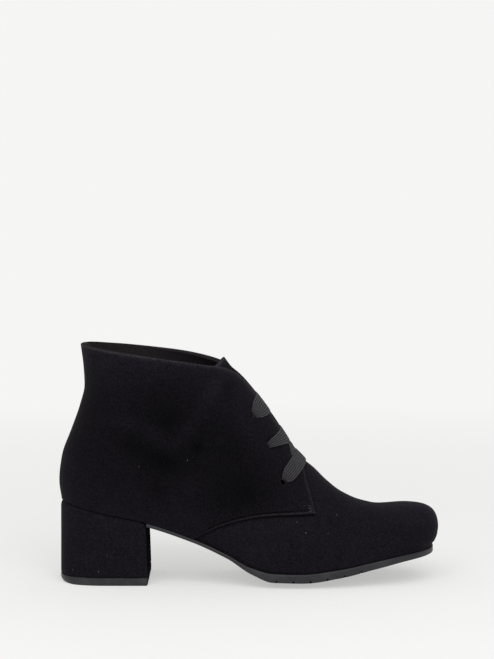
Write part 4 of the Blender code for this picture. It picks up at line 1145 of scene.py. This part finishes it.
def makeStitches(side):
    parts, wear = [], []
    length = stitching["length"]
    for height, begin, end, wearStart, wearEnd in stitching["rows"]:
        line = edgePlaces(height)
        long = walked(skin(line, side))[-1]
        high = quarter["high"] + foldHeight(height)
        for at in np.arange(begin * long, end * long - length, length + stitching["gap"]):
            shares = np.linspace(at, at + length, stitching["lineSteps"]) / long
            parts.append(stitch(along(line, shares, curved=False), side, high))
            worn = np.clip((at - long + stitching["wornFrom"]) / stitching["wornOver"], 0, 1)
            wear.append(wearStart + (wearEnd - wearStart) * worn)
    lean = stitching["tackLean"]
    tack = [facingPoints[0] + [-back - lean * over, over] for back, over in stitching["tack"]]
    for ends in zip(tack, tack[1:]):
        parts.append(stitch(ends, side, quarter["high"]))
        wear.append(stitching["tackWear"])
    points, faces = joined(parts)
    layers = {"wear": np.repeat(wear, [len(part[0]) for part in parts])}
    piece = build(stitching["names"][side], points, faces, [thread], layers=layers)
    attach(piece, "root")


for side in bothSides:
    makeStitches(side)
print("stage: stitches")

# Lint on the nap and loose threads at the back of the collar, where the photo has them
lint = {
    "spots": [  # place in the side view, length, direction and height over the last
        ((157.1, 43.8), 0.7, 0.6, 0.1), ((163.0, 36.8), 1.0, 0.9, 0.1), ((183.5, 46.5), 0.7, 2.2, 0.1),
        ((177.4, 35.8), 0.6, 0.2, 0.1), ((86.2, 84.0), 0.5, 1.1, 1.6), ((54.6, 79.5), 0.5, 0.4, 1.6),
    ],
    "heelSpots": [  # place in the side view, length and direction
        ((33.2, 20.6), 0.6, 0.3), ((10.2, 9.6), 0.6, 1.2), ((27.4, 9.6), 0.9, 1.9),
    ],
    "radius": 0.11, "taper": np.array([0.4, 0.9, 1.0, 1.0, 0.8, 0.4]), "bend": 0.25, "above": 0.12,
    "aboveHeel": 0.15, "heelNormal": [0.0, -1.0, 0.0],
    "threads": [  # points of each loose thread, in the tables' millimetres
        [(16.6, -1.0, 156.4), (16.2, -2.6, 157.6), (17.2, -4.2, 158.3), (18.6, -5.0, 157.9)],
        [(17.2, -3.0, 156.3), (18.2, -4.6, 157.4), (19.8, -6.2, 157.5), (20.9, -7.4, 156.6)],
    ],
    "threadRadius": 0.13, "threadSteps": 14, "threadTone": -0.6, "threadNormal": [0.3, -0.9, 0.3],
}


def heelWall(z, seat):  # outer side of the heel block at a height, as x and y
    low = (seat - z) / (seat - heel["lift"])
    wall = seatLoop * (1 - low) + footLoop * low
    wall = wall[wall[:, 1] < 0]
    return wall[np.argsort(wall[:, 0])].T


def makeLint():
    parts = []
    radius = lint["radius"] * lint["taper"]
    share = np.linspace(-0.5, 0.5, len(radius))
    for (x, z), long, turn, high in lint["spots"]:
        run, bend = long * share, lint["bend"] * long * np.cos(share * math.pi)
        lineX = x + run * math.cos(turn) - bend * math.sin(turn)
        lineZ = z + run * math.sin(turn) + bend * math.cos(turn)
        line = np.stack([lineX, lineZ], axis=-1)
        normals = skinNormal(line, outer)
        parts.append(tube(skin(line, outer) + normals * (high + lint["above"]), normals, radius))
    for (x, z), long, turn in lint["heelSpots"]:
        lineX, lineZ = x + long * share * math.cos(turn), z + long * share * math.sin(turn)
        lineY = np.interp(lineX, *heelWall(z, featherZ(x) - seatDrop)) - lint["aboveHeel"]
        points = np.stack([lineX, lineY, lineZ], axis=-1)
        parts.append(tube(points, np.tile(lint["heelNormal"], (len(points), 1)), radius))
    tones = [0.0] * len(parts)
    for route in lint["threads"]:
        points = along(route, np.linspace(0, 1, lint["threadSteps"]))
        normals = np.tile(lint["threadNormal"], (len(points), 1))
        parts.append(tube(points, normals, np.full(len(points), lint["threadRadius"])))
        tones.append(lint["threadTone"])
    points, faces = joined(parts)
    layers = {"tone": np.repeat(tones, [len(part[0]) for part in parts])}
    piece = build("lint", points, faces, [fluff], layers=layers)
    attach(piece, "root")


makeLint()
print("stage: lint")

# Floor, light and camera
studio = {
    "floorColours": [(0.905, 0.905, 0.9, 1), (0.925, 0.925, 0.92, 1)], "floorSize": 12.0,
    "backdrop": (1.0, 1.0, 0.985, 1), "pale": 0.915, "world": 0.6,
    "fadeFrom": 0.34, "fadeTo": 0.95, "glow": 0.5,
    "lightAt": Vector((0.0, -1.5, 1.35)), "lightSize": (2.4, 1.6), "lightPower": 30.0,
    "cameraAt": np.array([124.7, -1500.0, 300.0]), "cameraTilt": 5.1, "sensor": 36.0, "lens": 124.4,
}


def makeFloor():  # pale floor, a little lit from below, that fades into the plain backdrop away from the boot
    material = bpy.data.materials.new("paleFloor")
    material.use_nodes = True
    tree = material.node_tree
    shader = tree.nodes["Principled BSDF"]
    coord = add(tree, "TexCoord").outputs["Object"]
    colour = blended(tree, ranged(tree, noise(tree, coord, 3.0), 0.3, 0.7), *studio["floorColours"])
    tree.links.new(colour, shader.inputs["Base Color"])
    shader.inputs["Roughness"].default_value = 0.7
    shader.inputs["Specular IOR Level"].default_value = 0.1
    away = add(tree, "VectorMath", {0: coord}, operation="LENGTH").outputs["Value"]
    glow = add(tree, "Emission", {"Color": studio["backdrop"], "Strength": studio["pale"]})
    share = ranged(tree, away, studio["fadeFrom"], studio["fadeTo"], studio["glow"], 1.0)
    mixed = add(tree, "MixShader", {0: share, 1: shader.outputs[0], 2: glow.outputs[0]})
    tree.links.new(mixed.outputs[0], tree.nodes["Material Output"].inputs["Surface"])
    bpy.ops.mesh.primitive_grid_add(x_subdivisions=8, y_subdivisions=8, size=studio["floorSize"])
    floor = bpy.context.object
    floor.name = "paleFloor"
    floor.data.materials.append(material)


def makeLight():
    data = bpy.data.lights.new("keyLight", "AREA")
    data.shape, data.energy = "RECTANGLE", studio["lightPower"]
    data.size, data.size_y = studio["lightSize"]
    light = bpy.data.objects.new("keyLight", data)
    light.location = studio["lightAt"]
    light.rotation_euler = (-studio["lightAt"]).to_track_quat("-Z", "Y").to_euler()
    bpy.context.scene.collection.objects.link(light)


def makeWorld():  # the camera sees the plain backdrop, the boot is lit by a softer one
    world = bpy.data.worlds.new("studioWorld")
    world.use_nodes = True
    tree = world.node_tree
    shader = tree.nodes["Background"]
    seen = add(tree, "LightPath").outputs["Is Camera Ray"]
    tree.links.new(ranged(tree, seen, 0.0, 1.0, studio["world"], studio["pale"]), shader.inputs["Strength"])
    shader.inputs["Color"].default_value = studio["backdrop"]
    bpy.context.scene.world = world


def makeCamera():
    camera = bpy.data.objects.new("camera", bpy.data.cameras.new("camera"))
    camera.data.sensor_width = studio["sensor"]
    camera.data.lens = studio["lens"]
    camera.location = Vector((studio["cameraAt"] + bootShift) * mm)
    camera.rotation_euler = (math.radians(90 - studio["cameraTilt"]), 0, 0)
    bpy.context.scene.collection.objects.link(camera)
    bpy.context.scene.camera = camera


makeFloor()
makeLight()
makeWorld()
makeCamera()
bpy.context.scene.view_settings.view_transform = "Standard"
print("stage: studio")

bpy.context.view_layer.update()
